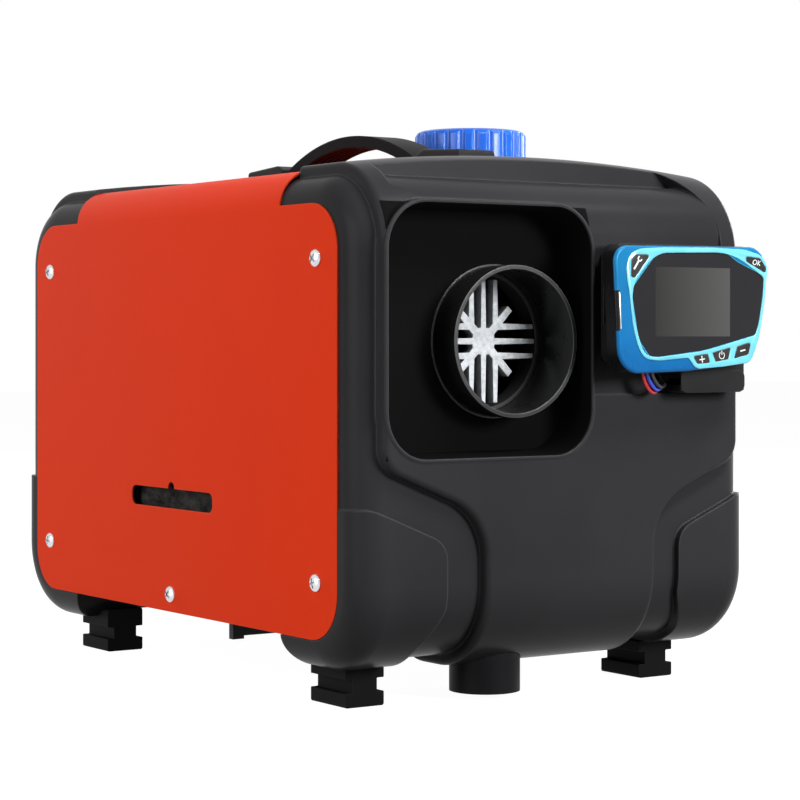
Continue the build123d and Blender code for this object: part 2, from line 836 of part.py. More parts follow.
# --- Cover, tray and what stands under the case -----------------------------------------------------
def slot_outline():
    """Slot in a side wall with the small round notch on its top edge."""
    slot = Pos(0, slot_z) * RectangleRounded(slot_length, slot_height, slot_corner)
    return slot + Pos(0, slot_z + slot_height / 2) * Circle(slot_notch_radius)


def cover():
    """Steel sheet bent over the top of the case, with a slot and five screw holes in each side wall."""
    outer = rounded_area((-cover_half_x, cover_half_x), (-cover_top, cover_top), cover_fold)
    inner = rounded_area((-shell_half_x, shell_half_x), (-cover_top + sheet, cover_top - sheet),
                         cover_fold - sheet)
    half = shell_end_y - cover_gap
    above = span_box((-case_width, case_width), (-half, half), (screw_high_z, cover_top + 1))
    hoop = slab_y(outer - inner, -half, half) & above
    wall = cover_wall_outline()
    sides = slab_x(wall, -cover_half_x, -shell_half_x) + slab_x(wall, shell_half_x, cover_half_x)
    body = hoop + sides - slab_x(slot_outline(), -case_width, case_width)
    for y, z in cover_screw_places():
        body -= rod_x(y, z, screw_shank_radius + screw_gap, -case_width, case_width)
    body -= rod_z(filler_x, 0, neck_radius + neck_hole_gap, cover_top - 3, cover_top + 1)
    for end in (-1, 1):
        body -= rod_z(0, end * handle_screw_y, handle_screw_radius + screw_gap, cover_top - 3, cover_top + 1)
    return body


def cover_screw_places():
    corners = [(end * screw_corner_y, z) for end in (-1, 1) for z in (screw_low_z, screw_high_z)]
    return corners + [(0, screw_middle_z)]


def cover_screws():
    """Ten pan-head screws in the side walls."""
    flat = screw_head_radius * 0.35
    points = [(0, 0), (screw_head_radius, 0), (screw_head_radius, 0.8), (screw_head_radius * 0.82, 1.8),
              (flat, screw_head_height), (0, screw_head_height)]
    head = revolve(make_face(Polyline(*points, close=True)), Axis.Y)
    shank = Pos(0, -screw_length / 2, 0) * Rot(90, 0, 0) * Cylinder(screw_shank_radius, screw_length)
    screw = head + shank
    screws = []
    for y, z in cover_screw_places():
        for side in (-1, 1):
            screws.append(Pos(side * cover_half_x, y, z) * Rot(0, 0, -90 * side) * screw)
    return screws


def tray():
    """Steel tray between the end shells: floor, side flanges and a tongue on each shell's sill."""
    half_y = shell_end_y - cover_gap
    floor = span_box((-shell_half_x, shell_half_x), (-half_y, half_y), (tray_z, tray_top))
    reach = shell_end_y + tray_lap
    tongue_half = shell_half_x - tray_tongue_inset
    tongue = span_box((-tongue_half, tongue_half), (-reach, reach), (tray_z, tray_top))
    body = floor + tongue
    for side in (-1, 1):
        low, high = sorted((side * shell_half_x, side * (shell_half_x - tray_sheet)))
        body += span_box((low, high), (-half_y, half_y), (tray_z, tray_z + tray_flange))
        body -= rod_x(0, screw_middle_z, screw_shank_radius + screw_gap, low - 1, high + 1)
    body -= rod_z(exhaust_x, exhaust_y, exhaust_pipe_radius + port_gap, tray_z - 1, tray_top + 1)
    for x, y in stand_screw_places() + rail_screw_places():
        body -= rod_z(x, y, base_screw_radius + screw_gap, tray_z - 1, tray_top + 1)
    return body


def stand_screw_places():
    low, high = stand_x
    near, far = stand_y[0] + stand_screw_inset, stand_y[1] - stand_screw_inset
    return [(x, y) for x in (low - stand_flange / 2, high + stand_flange / 2) for y in (near, far)]


def rail_screw_places():
    return [(side * (rail_half_length - rail_screw_inset), rail_y + (rail_leg + rail_sheet) / 2)
            for side in (-1, 1)]


def cross_rail():
    """Angle rail across the underside of the tray, with a small tab at its left end."""
    half = rail_half_length
    upright = span_box((-half, half), (rail_y, rail_y + rail_sheet), (rail_bottom, tray_z))
    leg = span_box((-half, half), (rail_y, rail_y + rail_leg), (tray_z - rail_sheet / 2, tray_z))
    tab = span_box((-half, -half + rail_tab_width), (rail_y, rail_y + rail_sheet),
                   (rail_bottom - rail_tab_drop, rail_bottom))
    body = upright + leg + tab
    for x, y in rail_screw_places():
        body -= rod_z(x, y, base_screw_radius + screw_gap, rail_bottom, tray_z + 1)
    return body


def foot_screw_place():
    return sum(foot_x) / 2, sum(foot_y) / 2


def foot():
    """Rubber foot, drawn at the front right: I-shaped section along Y, its top fitted to the shell's toe."""
    low, high = foot_x
    neck_low, neck_high = low + foot_neck_inset, high - foot_neck_inset
    top = foot_height + foot_heel
    points = [(low, 0), (high, 0), (high, foot_neck_z[0]), (neck_high, foot_neck_z[0]),
              (neck_high, foot_neck_z[1]),
              (high, foot_neck_z[1]), (high, top), (low, top), (low, foot_neck_z[1]),
              (neck_low, foot_neck_z[1]), (neck_low, foot_neck_z[0]), (low, foot_neck_z[0])]
    small = foot_edge * 0.4
    radii = [foot_edge, foot_edge] + [small] * 4 + [foot_edge, foot_edge] + [small] * 4
    body = slab_y(outline(points, radii), -foot_y[1], -foot_y[0])
    toe = slab_x(end_profile(0, band_bottom, shell_top), 0, case_width)
    body -= toe & span_box((0, case_width), (-case_width, 0), (foot_height, shell_top))
    x, y = foot_screw_place()
    body -= rod_z(x, -y, base_screw_head_radius + 0.5, -1, foot_neck_z[0])
    return body - rod_z(x, -y, base_screw_radius + screw_gap, 0, top + 1)


def base_screw(x, y, z, reach):
    """Screw whose head rests at height z; reach is its shank's length, upwards or (negative) downwards."""
    head = base_screw_head_height if reach < 0 else -base_screw_head_height
    body = rod_z(x, y, base_screw_head_radius, min(z, z + head), max(z, z + head))
    return body + rod_z(x, y, base_screw_radius, min(z, z + reach), max(z, z + reach))


def base_screws():
    """Screws of the feet, of the heater stand and of the cross rail."""
    x, y = foot_screw_place()
    screws = [base_screw(side * x, end * y, foot_neck_z[0], foot_screw_length)
              for side in (-1, 1) for end in (-1, 1)]
    screws += [base_screw(x, y, tray_top + stand_sheet, -tray_screw_length) for x, y in stand_screw_places()]
    return screws + [base_screw(x, y, tray_top, -tray_screw_length) for x, y in rail_screw_places()]


# --- Handle ---------------------------------------------------------------------------------------
def strap_outline(grow=0.0):
    """Side view of the strap: an even arch whose ends bend into flat tongues."""
    arch = (handle_seam_y ** 2 + handle_rise ** 2) / (2 * handle_rise)
    centre = handle_crown - arch
    slope = atan2(handle_seam_y, arch - handle_rise)
    over, under = arch + grow, arch - handle_thickness - grow
    top_y, top_z = over * sin(slope), centre + over * cos(slope)
    low_y, low_z = under * sin(slope), centre + under * cos(slope)
    floor = cover_top + handle_seat + handle_gap
    flat = (floor - grow, floor + handle_thickness - 0.4 + grow)
    bend, tip = handle_seam_y + handle_tongue_bend, handle_end_y - handle_tongue_inset + grow
    top = ThreePointArc((-top_y, top_z), (0, centre + over), (top_y, top_z))
    under_arc = ThreePointArc((low_y, low_z), (0, centre + under), (-low_y, low_z))
    right = Polyline((top_y, top_z), (bend + 3, flat[1]), (tip, flat[1]), (tip, flat[0]),
                     (bend - 1, flat[0]), (low_y, low_z))
    left = Polyline((-low_y, low_z), (1 - bend, flat[0]), (-tip, flat[0]), (-tip, flat[1]),
                    (-bend - 3, flat[1]), (-top_y, top_z))
    return make_face(top.edges() + right.edges() + under_arc.edges() + left.edges())


def handle_strap():
    """Moulded strap with grooves along its underside."""
    half = handle_half_width - handle_side_gap - handle_cheek
    strap = slab_x(strap_outline(), -half, half)
    arch = (handle_seam_y ** 2 + handle_rise ** 2) / (2 * handle_rise)
    ring = arch - handle_thickness
    pitch = 2 * half / (handle_grooves + 1)
    for step in range(1, handle_grooves + 1):
        place = Pos(-half + step * pitch, 0, handle_crown - arch) * Rot(0, 90, 0)
        strap -= place * Torus(ring, handle_groove_radius) & span_box(
            (-half, half), (-handle_seam_y * 0.8, handle_seam_y * 0.8), (cover_top, handle_crown))
    return strap


def handle_block(end):
    """End block that clamps the strap to the cover; end is -1 at the front, 1 at the back."""
    seam, far = handle_seam_y, handle_end_y
    top, low = handle_block_top, cover_top
    points = [(seam, low), (far, low), (far, top - handle_block_drop), (seam + 6, top), (seam, handle_mouth)]
    body = slab_x(outline([(end * y, z) for y, z in points], [0, 0, 2.0, 6.0, 1.0]), -handle_half_width,
                  handle_half_width)
    crown = body.edges().filter_by(lambda edge: edge.bounding_box().min.Z > low + 4)
    sides = crown.filter_by(lambda edge: abs(abs(edge.center().X) - handle_half_width) < 0.01)
    body = fillet(sides, 1.4)
    inner = handle_half_width - handle_cheek
    body -= slab_x(strap_outline(handle_gap), -inner, inner)
    return body - rod_z(0, end * handle_screw_y, handle_screw_radius + screw_gap, low - 1,
                        low + handle_screw_reach + 0.5)


def handle_screws():
    """One screw up into each end block, its head under the cover."""
    under = cover_top - sheet
    screws = []
    for end in (-1, 1):
        y = end * handle_screw_y
        head = rod_z(0, y, handle_screw_head_radius, under - handle_screw_head_height, under)
        screws.append(head + rod_z(0, y, handle_screw_radius, under, cover_top + handle_screw_reach))
    return screws


# --- Fuel tank, filler and cap --------------------------------------------------------------------
def fuel_tank():
    """Hollow moulded tank on two feet, open under the filler neck."""
    size = (tank_x[1] - tank_x[0], 2 * tank_half_y, tank_top - tank_bottom)
    middle = Pos(sum(tank_x) / 2, 0, (tank_top + tank_bottom) / 2)
    outer = Box(*size)
    outer = middle * fillet(outer.edges(), tank_corner)
    inner = Box(*[length - 2 * tank_wall for length in size])
    inner = middle * fillet(inner.edges(), tank_corner - tank_wall)
    sides = (tank_x[0] + tank_foot_inset, tank_x[1] - tank_foot_inset)
    for end in (-1, 1):
        near, far = sorted((end * (tank_half_y - tank_foot_end),
                            end * (tank_half_y - tank_foot_end - tank_foot_length)))
        outer += span_box(sides, (near, far), (tray_top, tank_bottom + tank_corner))
    bore = rod_z(filler_x, 0, neck_radius - neck_wall, tank_top - tank_wall - 1, tank_top + 1)
    drain = rod_x(tank_outlet_y, filter_z, nipple_bore, filter_x, tank_x[0] + tank_wall + 1)
    drain += rod_y(filter_x, filter_z, nipple_bore, tank_outlet_y,
                   tank_outlet_y + elbow_length + nipple_length + 1)
    return outer - inner - bore + outlet_elbow() - drain


def outlet_elbow():
    """Elbow moulded on the tank's side wall, pointing back towards the filter."""
    corner = tank_outlet_y + elbow_length
    body = rod_x(tank_outlet_y, filter_z, elbow_radius, filter_x, tank_x[0] + tank_wall / 2)
    body += Pos(filter_x, tank_outlet_y, filter_z) * Sphere(elbow_radius)
    body += rod_y(filter_x, filter_z, elbow_radius, tank_outlet_y, corner)
    return body + rod_y(filter_x, filter_z, nipple_radius, corner, corner + nipple_length)


def filler_neck():
    """Neck on the tank with a ring above the cover."""
    inner, outer = neck_radius - neck_wall, neck_radius
    ring_low, ring_high = neck_ring_z
    return turned_z([(inner, tank_top), (outer, tank_top), (outer, ring_low), (neck_ring_radius, ring_low),
                     (neck_ring_radius, ring_high), (outer, ring_high), (outer, neck_top),
                     (inner, neck_top)], filler_x, 0)


def fuel_cap():
    """Screw cap with flutes round its skirt and a shallow dish on top."""
    bore = neck_radius + cap_thread_gap
    roof = neck_top + gasket_thickness
    solid = turned_z([(0, roof), (bore, roof), (bore, cap_skirt_bottom), (cap_radius, cap_skirt_bottom),
                      (cap_radius, cap_top - cap_round),
                      (cap_radius - 0.4 * cap_round, cap_top - 0.3 * cap_round),
                      (cap_radius - cap_round, cap_top), (cap_dish_radius, cap_top),
                      (cap_dish_radius - 1, cap_top - cap_dish), (0, cap_top - cap_dish)], filler_x, 0)
    for step in range(cap_flutes):
        flute = Rot(0, 0, 360 / cap_flutes * step) * Pos(cap_radius + cap_flute_radius - cap_flute_depth, 0)
        solid -= slab_z(Pos(filler_x, 0) * flute * Circle(cap_flute_radius), cap_skirt_bottom - 1,
                        cap_top + 1)
    return solid


def cap_gasket():
    return pipe_z(filler_x, 0, neck_radius, neck_radius - neck_wall, neck_top, neck_top + gasket_thickness)


# --- Heater ---------------------------------------------------------------------------------------
def outlet_tube():
    """Outlet tube through the window's floor, a little thicker there, held by a flange behind it."""
    floor, back, seat = -recess_floor_y, -recess_back_y, outlet_radius + outlet_step
    return turned_y([(outlet_bore, outlet_rim_y), (outlet_radius, outlet_rim_y), (outlet_radius, floor),
                     (seat, floor),
                     (seat, back), (outlet_flange_radius, back), (outlet_flange_radius, back + outlet_flange),
                     (outlet_radius, back + outlet_flange), (outlet_radius, outlet_tail_y),
                     (outlet_bore, outlet_tail_y)])


def casing():
    """Plastic casing around the heater: collar, cone, barrel and inlet mouth."""
    collar, wall = outlet_bore - seat_gap, casing_wall
    front, back = casing_front_y, casing_mouth_y
    cone_low, cone_high = casing_cone_y
    body = turned_y([(collar - 2, front), (collar, front), (collar, cone_low), (casing_radius, cone_high),
                     (casing_radius, casing_back_y), (casing_mouth_radius, casing_back_y + wall),
                     (casing_mouth_radius, back), (casing_mouth_radius - wall, back),
                     (casing_mouth_radius - wall, casing_back_y),
                     (casing_radius - wall, casing_back_y - wall),
                     (casing_radius - wall, cone_high + 1), (collar - 2, cone_low + 1)])
    low = axis_z - casing_radius - 1
    body -= span_box((pad_x[0] - 1, pad_x[1] + 1), (pad_y[0] - 1, pad_y[1] + 1), (low, pad_z[1]))
    return body - rod_z(burner_inlet_x, plug_y, line_radius + port_gap, low, pad_z[1])


def casing_half(side):
    reach = casing_radius + 1
    z = (axis_z, axis_z + reach) if side > 0 else (axis_z - reach, axis_z)
    return casing() & span_box((axis_x - reach, axis_x + reach), (casing_front_y - 1, casing_mouth_y + 1), z)


def tapered_bar(offset, start, reach, root, tip):
    """Straight fin seen along the heater's axis, pointing up."""
    points = [(offset - root / 2, start), (offset + root / 2, start), (offset + tip / 2, reach),
              (offset - tip / 2, reach)]
    return make_face(Polyline(*points, close=True))


def star_fins():
    """Fins that show in the outlet: four cross bars, a pair beside each, and four short arms between."""
    star = RegularPolygon(fin_hub_radius, 8, rotation=22.5)
    beside = sqrt(fin_reach ** 2 - fin_spacing ** 2)
    for quarter in range(4):
        turn = Rot(0, 0, 90 * quarter)
        star += turn * tapered_bar(0, 0, fin_reach, fin_root_width, fin_tip_width)
        for side in (-1, 1):
            star += turn * tapered_bar(side * fin_spacing, fin_spacing, beside, fin_root_width, fin_tip_width)
        star += Rot(0, 0, 45 + 90 * quarter) * tapered_bar(0, 0, fin_arm_reach, fin_arm_width,
                                                           fin_arm_tip_width)
    return Pos(axis_x, axis_z) * (star & Circle(fin_reach))


def stud_places():
    return [(x, y) for x in (pad_x[0] + stud_inset, pad_x[1] - stud_inset)
            for y in (pad_y[0] + stud_inset, pad_y[1] - stud_inset)]


def ports():
    """Exhaust and combustion-air ports as (x, y, radius)."""
    return [(exhaust_x, exhaust_y, exhaust_port_radius), (intake_x, intake_y, intake_port_radius)]


def exchanger_fins():
    """Star of fins on the exchanger's front end, seen through the outlet tube."""
    return slab_y(star_fins(), fin_face_y, core_front_y)


def heat_exchanger():
    """Cast core with ribs along it, a rear flange, foot pad, ports and studs."""
    body = rod_y(axis_x, axis_z, core_radius, core_front_y, core_back_y)
    ribs = Sketch()
    for step in range(rib_count):
        rib = Pos((core_radius + rib_radius) / 2 - 1, 0) * Rectangle(rib_radius - core_radius + 2, rib_width)
        ribs += Rot(0, 0, 360 / rib_count * (step + 0.5)) * rib
    body += slab_y(Pos(axis_x, axis_z) * ribs, core_front_y, core_back_y)
    body += rod_y(axis_x, axis_z, core_flange_radius, core_back_y - core_flange, core_back_y)
    neck = (axis_x - core_radius / 2, axis_x + core_radius / 2)
    body += span_box(pad_x, pad_y, pad_z) + span_box(neck, pad_y, (pad_z[1], axis_z - core_radius / 2))
    for x, y, radius in ports():
        body += rod_z(x, y, radius, port_bottom, pad_underside)
    for x, y in stud_places():
        body += rod_z(x, y, stud_radius, pad_underside - stud_length, pad_underside)
    body -= rod_y(axis_x, axis_z, core_radius - core_wall, core_front_y + core_wall, core_back_y + 1)
    for x, y, radius in ports():
        body -= rod_z(x, y, radius - port_wall, port_bottom - 1, pad_z[1] - port_wall)
    return body


def mount_nuts():
    nut = RegularPolygon(nut_width / 2, 6, major_radius=False) - Circle(stud_radius + screw_gap)
    top = stand_top - stand_sheet
    return [slab_z(Pos(x, y) * nut, top - nut_height, top) for x, y in stud_places()]


def mount_gasket():
    """Gasket between foot pad and stand."""
    inset = mount_gasket_inset
    area = rounded_area((pad_x[0] + inset, pad_x[1] - inset), (pad_y[0] + inset, pad_y[1] - inset), 2 * inset)
    body = slab_z(area, stand_top, pad_underside)
    return pierce_mount(body)


def pierce_mount(body):
    """Holes for the studs and the two ports."""
    low, high = stand_top - stand_sheet - 1, pad_underside + 1
    for x, y in stud_places():
        body -= rod_z(x, y, stud_radius + 0.3, low, high)
    for x, y, radius in ports():
        body -= rod_z(x, y, radius + port_gap, low, high)
    return body


def heater_stand():
    """Folded sheet stand: top plate, a leg on each side and outward flanges on the tray."""
    low, high = stand_x
    body = span_box(stand_x, stand_y, (stand_top - stand_sheet, stand_top))
    for side, edge in ((-1, low), (1, high)):
        leg = sorted((edge, edge - side * stand_sheet))
        flange = sorted((edge - side * stand_sheet, edge + side * stand_flange))
        body += span_box(leg, stand_y, (tray_top, stand_top))
        body += span_box(flange, stand_y, (tray_top, tray_top + stand_sheet))
    for x, y in stand_screw_places():
        body -= rod_z(x, y, base_screw_radius + screw_gap, tray_top - 1, tray_top + stand_sheet + 1)
    return pierce_mount(body)


def combustion_chamber():
    """Steel tube with rows of air holes, its flange held between exchanger and burner."""
    back = core_back_y + chamber_flange
    inner = chamber_radius - chamber_wall
    front = core_front_y + chamber_lead
    body = turned_y([(inner, front), (chamber_radius, front), (chamber_radius, core_back_y),
                     (chamber_flange_radius, core_back_y), (chamber_flange_radius, back), (inner, back)])
    for step in range(chamber_holes):
        row = Rot(0, 360 / chamber_holes * step, 0) * rod_x(0, 0, chamber_hole_radius, inner - 1,
                                                            chamber_radius + 1)
        for y in (core_back_y - chamber_hole_pitch, core_back_y - 2 * chamber_hole_pitch):
            body -= Pos(axis_x, y, axis_z) * row
    return body


def burner_housing():
    """Cast housing with the impeller's recess, the glow plug's bore and the fuel inlet."""
    front, back = burner_y
    body = rod_y(axis_x, axis_z, burner_radius, front, back)
    body -= rod_y(axis_x, axis_z, burner_recess_radius, back - burner_recess_depth, back + 1)
    body -= rod_z(axis_x, plug_y, plug_radius + seat_gap / 2, axis_z + burner_radius - plug_depth,
                  axis_z + burner_radius + 1)
    body -= span_box((axis_x - plug_head_radius - 1, axis_x + plug_head_radius + 1),
                     (front - 1, plug_y + plug_head_radius + 1), (plug_seat_z(), axis_z + burner_radius + 1))
    return body + rod_z(burner_inlet_x, plug_y, nipple_radius, burner_inlet_z,
                        axis_z - burner_radius + nipple_length)


def plug_seat_z():
    """Height of the flat that the glow plug's hexagon sits on."""
    return axis_z + sqrt(burner_radius ** 2 - (plug_head_radius + 1) ** 2) - 1


def glow_plug():
    seat = plug_seat_z()
    pin = rod_z(axis_x, plug_y, plug_radius, axis_z + burner_radius - plug_depth + 1, seat)
    return pin + slab_z(Pos(axis_x, plug_y) * RegularPolygon(plug_head_radius, 6), seat,
                        seat + plug_head_height)


def combustion_impeller():
    """Disc with straight blades, turned by the motor inside the burner housing."""
    front = impeller_y
    body = rod_y(axis_x, axis_z, impeller_radius, front, front + impeller_plate)
    body += rod_y(axis_x, axis_z, impeller_hub_radius, front, front + impeller_length)
    blade = Pos((impeller_hub_radius + impeller_radius) / 2 - 0.5, 0) * Rectangle(
        impeller_radius - impeller_hub_radius, impeller_blade)
    blades = Sketch()
    for step in range(impeller_blades):
        blades += Rot(0, 0, 360 / impeller_blades * step) * blade
    body += slab_y(Pos(axis_x, axis_z) * blades, front, front + impeller_length)
    return body - rod_y(axis_x, axis_z, shaft_radius + hub_fit, front - 1, front + impeller_length + 1)


def motor():
    """Motor whose flange closes the impeller's recess in the burner housing."""
    front, back = motor_y
    waist = motor_radius - motor_band
    face, edge = front + motor_flange, motor_band_edge
    body = turned_y([(0, front), (motor_flange_radius, front), (motor_flange_radius, face),
                     (motor_radius, face),
                     (motor_radius, face + edge), (waist, face + edge), (waist, back - edge),
                     (motor_radius, back - edge),
                     (motor_radius, back), (0, back)])
    return body - rod_y(axis_x, axis_z, shaft_radius + shaft_gap, front - 1, back + 1)


def motor_shaft():
    return rod_y(axis_x, axis_z, shaft_radius, impeller_y - impeller_gap / 2, fan_y[1] + shaft_end)


def blower_fan():
    """Axial fan: hub and pitched blades."""
    near, far = fan_y
    middle = (near + far) / 2
    span = fan_radius - fan_hub_radius + 4
    ring = pipe_y(axis_x, axis_z, fan_radius, fan_hub_radius - 1, near, far)
    body = rod_y(axis_x, axis_z, fan_hub_radius, near, far)
    for step in range(fan_blades):
        blade = Rot(fan_pitch, 0, 0) * Box(span, (far - near) * 1.6, fan_blade)
        blade = Pos(fan_hub_radius - 2 + span / 2, 0, 0) * blade
        body += (Pos(axis_x, middle, axis_z) * Rot(0, 360 / fan_blades * step, 0) * blade) & ring
    return body - rod_y(axis_x, axis_z, shaft_radius + hub_fit, near - 1, far + 1)


def control_unit():
    """Control box that sits over the motor like a saddle."""
    half = control_half_width
    low = axis_z + control_seat
    body = span_box((axis_x - half, axis_x + half), control_y, (low, low + control_height))
    body = fillet(body.edges().filter_by(Axis.Y), 3)
    return body - rod_y(axis_x, axis_z, motor_radius + seat_gap, control_y[0] - 1, control_y[1] + 1)


def inlet_grille():
    """Round grille in the rear window: rim, rings and spokes, with a collar into the casing's mouth."""
    near = recess_floor_y
    lines = Circle(grille_radius) - Circle(grille_bore)
    for ring in range(1, grille_rings + 1):
        radius = grille_bore * ring / (grille_rings + 1)
        lines += Circle(radius + grille_bar / 2) - Circle(radius - grille_bar / 2)
    spokes = Sketch()
    for step in range(grille_spokes):
        spoke = Pos(grille_bore / 2 + 0.5, 0) * Rectangle(grille_bore + 1, grille_bar)
        spokes += Rot(0, 0, 360 / grille_spokes * step) * spoke
    body = slab_y(Pos(axis_x, axis_z) * (lines + spokes), near, near + grille_thickness)
    return body + pipe_y(axis_x, axis_z, grille_collar_radius, grille_bore, near - grille_collar_reach, near)


# --- Ports, pump, filter and lines ----------------------------------------------------------------
def exhaust_pipe():
    return pipe_z(exhaust_x, exhaust_y, exhaust_pipe_radius, exhaust_bore, exhaust_pipe_bottom,
                  port_bottom + port_lap)


def exhaust_clamp():
    """Band clamp with two ears."""
    inner = exhaust_pipe_radius + seat_gap
    outer = inner + exhaust_clamp_sheet
    area = Circle(outer) + Pos(-outer - clamp_ear / 2 + 1, 0) * Rectangle(clamp_ear + 1, 6)
    area = area - Circle(inner) - Pos(-outer, 0) * Rectangle(2 * clamp_ear + 4, 2)
    low = port_bottom + port_lap - exhaust_clamp_width - 1
    return slab_z(Pos(exhaust_x, exhaust_y) * area, low, low + exhaust_clamp_width)


def intake_hose():
    """Rubber hose from the heater's port to the silencer."""
    top, bottom = port_bottom + port_lap, silencer_nipple_top - port_lap
    points = [(intake_x, intake_y, top), (intake_x, intake_y, hose_level),
              (silencer_x, silencer_y, hose_level),
              (silencer_x, silencer_y, bottom)]
    bend = min(port_bottom - hose_level, hose_level - silencer_nipple_top) - 0.1
    return bent_tube("intake_hose", points, [bend, bend], hose_radius, hose_bore)


def intake_silencer():
    """Round can open at the bottom, with a flange on the shell's collar and a nipple for the hose."""
    wall, outer = silencer_wall, silencer_radius
    roof, nipple = silencer_roof, intake_port_radius
    return turned_z([(outer - wall, silencer_bottom), (outer, silencer_bottom), (outer, silencer_seat_z),
                     (outer + silencer_lip, silencer_seat_z), (outer + silencer_lip, roof), (nipple, roof),
                     (nipple, silencer_nipple_top), (nipple - wall, silencer_nipple_top),
                     (nipple - wall, roof - wall),
                     (outer - wall, roof - wall)], silencer_x, silencer_y)


def fuel_pump():
    """Dosing pump: body, two necks, two nipples, and the plunger's bore."""
    near, far = pump_y
    body = rod_y(pump_x, pump_z, pump_radius, near, far)
    for edge, way in ((near, -1), (far, 1)):
        neck = sorted((edge, edge + way * pump_neck_length))
        tip = sorted((edge, edge + way * (pump_neck_length + nipple_length)))
        body += rod_y(pump_x, pump_z, pump_neck_radius, *neck) + rod_y(pump_x, pump_z, nipple_radius, *tip)
    bore = plunger_radius + plunger_gap
    start = near + plunger_inset
    return body - rod_y(pump_x, pump_z, bore, start - 1, start + plunger_length + plunger_stroke + 1)


def pump_plunger():
    start = pump_y[0] + plunger_inset
    return rod_y(pump_x, pump_z, plunger_radius, start, start + plunger_length)


def pump_clamp():
    """Sheet clamp round the pump, standing on the tray."""
    inner = pump_radius + seat_gap
    outer = inner + pump_clamp_sheet
    ring = Pos(pump_x, pump_z) * (Circle(outer) - Circle(inner))
    leg = rounded_area((pump_x - pump_clamp_sheet, pump_x + pump_clamp_sheet),
                       (tray_top, pump_z - outer + 0.8), 0.1)
    sole = rounded_area((pump_x - pump_clamp_foot, pump_x + pump_clamp_foot),
                        (tray_top, tray_top + pump_clamp_sheet), 0.1)
    start = pump_y[0] + pump_clamp_inset
    return slab_y(ring + leg + sole, start, start + pump_clamp_width)


def fuel_filter():
    """Clear inline filter: barrel with tapered ends and a nipple at each end."""
    near, far = filter_y
    taper, thin = filter_taper, nipple_radius
    return turned_y([(0, near - nipple_length), (thin, near - nipple_length), (thin, near),
                     (filter_radius, near + taper),
                     (filter_radius, far - taper), (thin, far), (thin, far + nipple_length),
                     (0, far + nipple_length)],
                    filter_x, filter_z)


def line_bore():
    return nipple_radius + nipple_gap


def fuel_line_tank():
    start = tank_outlet_y + elbow_length + nipple_length - nipple_lap
    end = filter_y[0] - nipple_length + nipple_lap
    return pipe_y(filter_x, filter_z, line_radius, line_bore(), start, end)


def fuel_line_pump():
    """Line from the filter's rear end round to the pump's rear end."""
    start = (filter_x, filter_y[1] + nipple_length - nipple_lap, filter_z)
    end = (pump_x, pump_y[1] + pump_neck_length + nipple_length - nipple_lap, pump_z)
    points = [start, (filter_x, 122, filter_z), (13, 150, 62), (-13, 152, 64), (pump_x, 139, pump_z), end]
    return bent_tube("fuel_line_pump", points, bend_radii(points), line_radius, line_bore())


def fuel_line_burner():
    """Line from the pump's front end up to the burner's inlet."""
    start = (pump_x, pump_y[0] - pump_neck_length - nipple_length + nipple_lap, pump_z)
    end = (burner_inlet_x, plug_y, burner_inlet_z + nipple_lap)
    points = [start, (pump_x, 20, pump_z), (-34, 22, 92), (burner_inlet_x, plug_y, 100), end]
    return bent_tube("fuel_line_burner", points, bend_radii(points), line_radius, line_bore())


# --- Controller -----------------------------------------------------------------------------------
def on_controller(points):
    """Points in hundredths of the controller's width and height, from its lower left corner."""
    return [(controller_x + controller_width * u / 100, controller_z + controller_height * v / 100) for u,
            v in points]


def bezel_outline():
    points = [(0, 97.2), (3.4, 0), (47, 1.9), (88.8, 8.1), (96.6, 45.3), (100, 98.8)]
    return outline(on_controller(points), [8, 13, 60, 5, 60, 11])


def glass_outline():
    points = [(27, 91.9), (71, 93.8), (79, 86.4), (97.4, 75.6), (96.2, 54.7), (91.8, 30.3), (57, 18.1),
              (23, 12.5),
              (15.5, 26.6), (10.8, 64.1)]
    return outline(on_controller(points), [5, 8, 10, 2, 40, 3, 60, 3, 12, 6])


def settings_outline():
    points = [(10.6, 87.2), (13.6, 90.5), (22.4, 90.5), (12.6, 72.8), (10.2, 73.8)]
    return outline(on_controller(points), [1.5, 2, 0.8, 1.2, 0.8])


def ok_outline():
    points = [(84.4, 91.3), (94, 90), (98, 82.5), (97.5, 78.4), (84.6, 87.3)]
    return outline(on_controller(points), [1, 2, 1.5, 1, 1])


def plus_outline():
    return outline(on_controller([(49.6, 13.6), (59.2, 15.2), (60.7, 8.4), (52.4, 7.7)]),
                   [0.8, 0.6, 0.6, 1.5])


def power_outline():
    return outline(on_controller([(62.2, 16.1), (74.3, 20.2), (72.6, 11.1), (64.4, 9.2)]), [0.6] * 4)


def minus_outline():
    return outline(on_controller([(78.6, 20.8), (87.9, 24.4), (86.1, 14.7), (76.5, 11.6)]),
                   [0.6, 1.2, 1.2, 0.6])


def screen_corners():
    return on_controller([(26.1, 28.8), (74.2, 81.6)])


def case_corners():
    """Lower left and upper right corner of the back case."""
    return on_controller([(6.6, 7.0), (98, 99.4)])


def case_outline(inset=0.0):
    (low_x, low_z), (high_x, high_z) = case_corners()
    points = [(low_x + inset, high_z - inset), (low_x + inset, low_z + inset),
              (high_x - case_corner - inset, low_z + 3 + inset), (high_x - inset, high_z - inset)]
    return outline(points, [case_corner - inset] * 4)


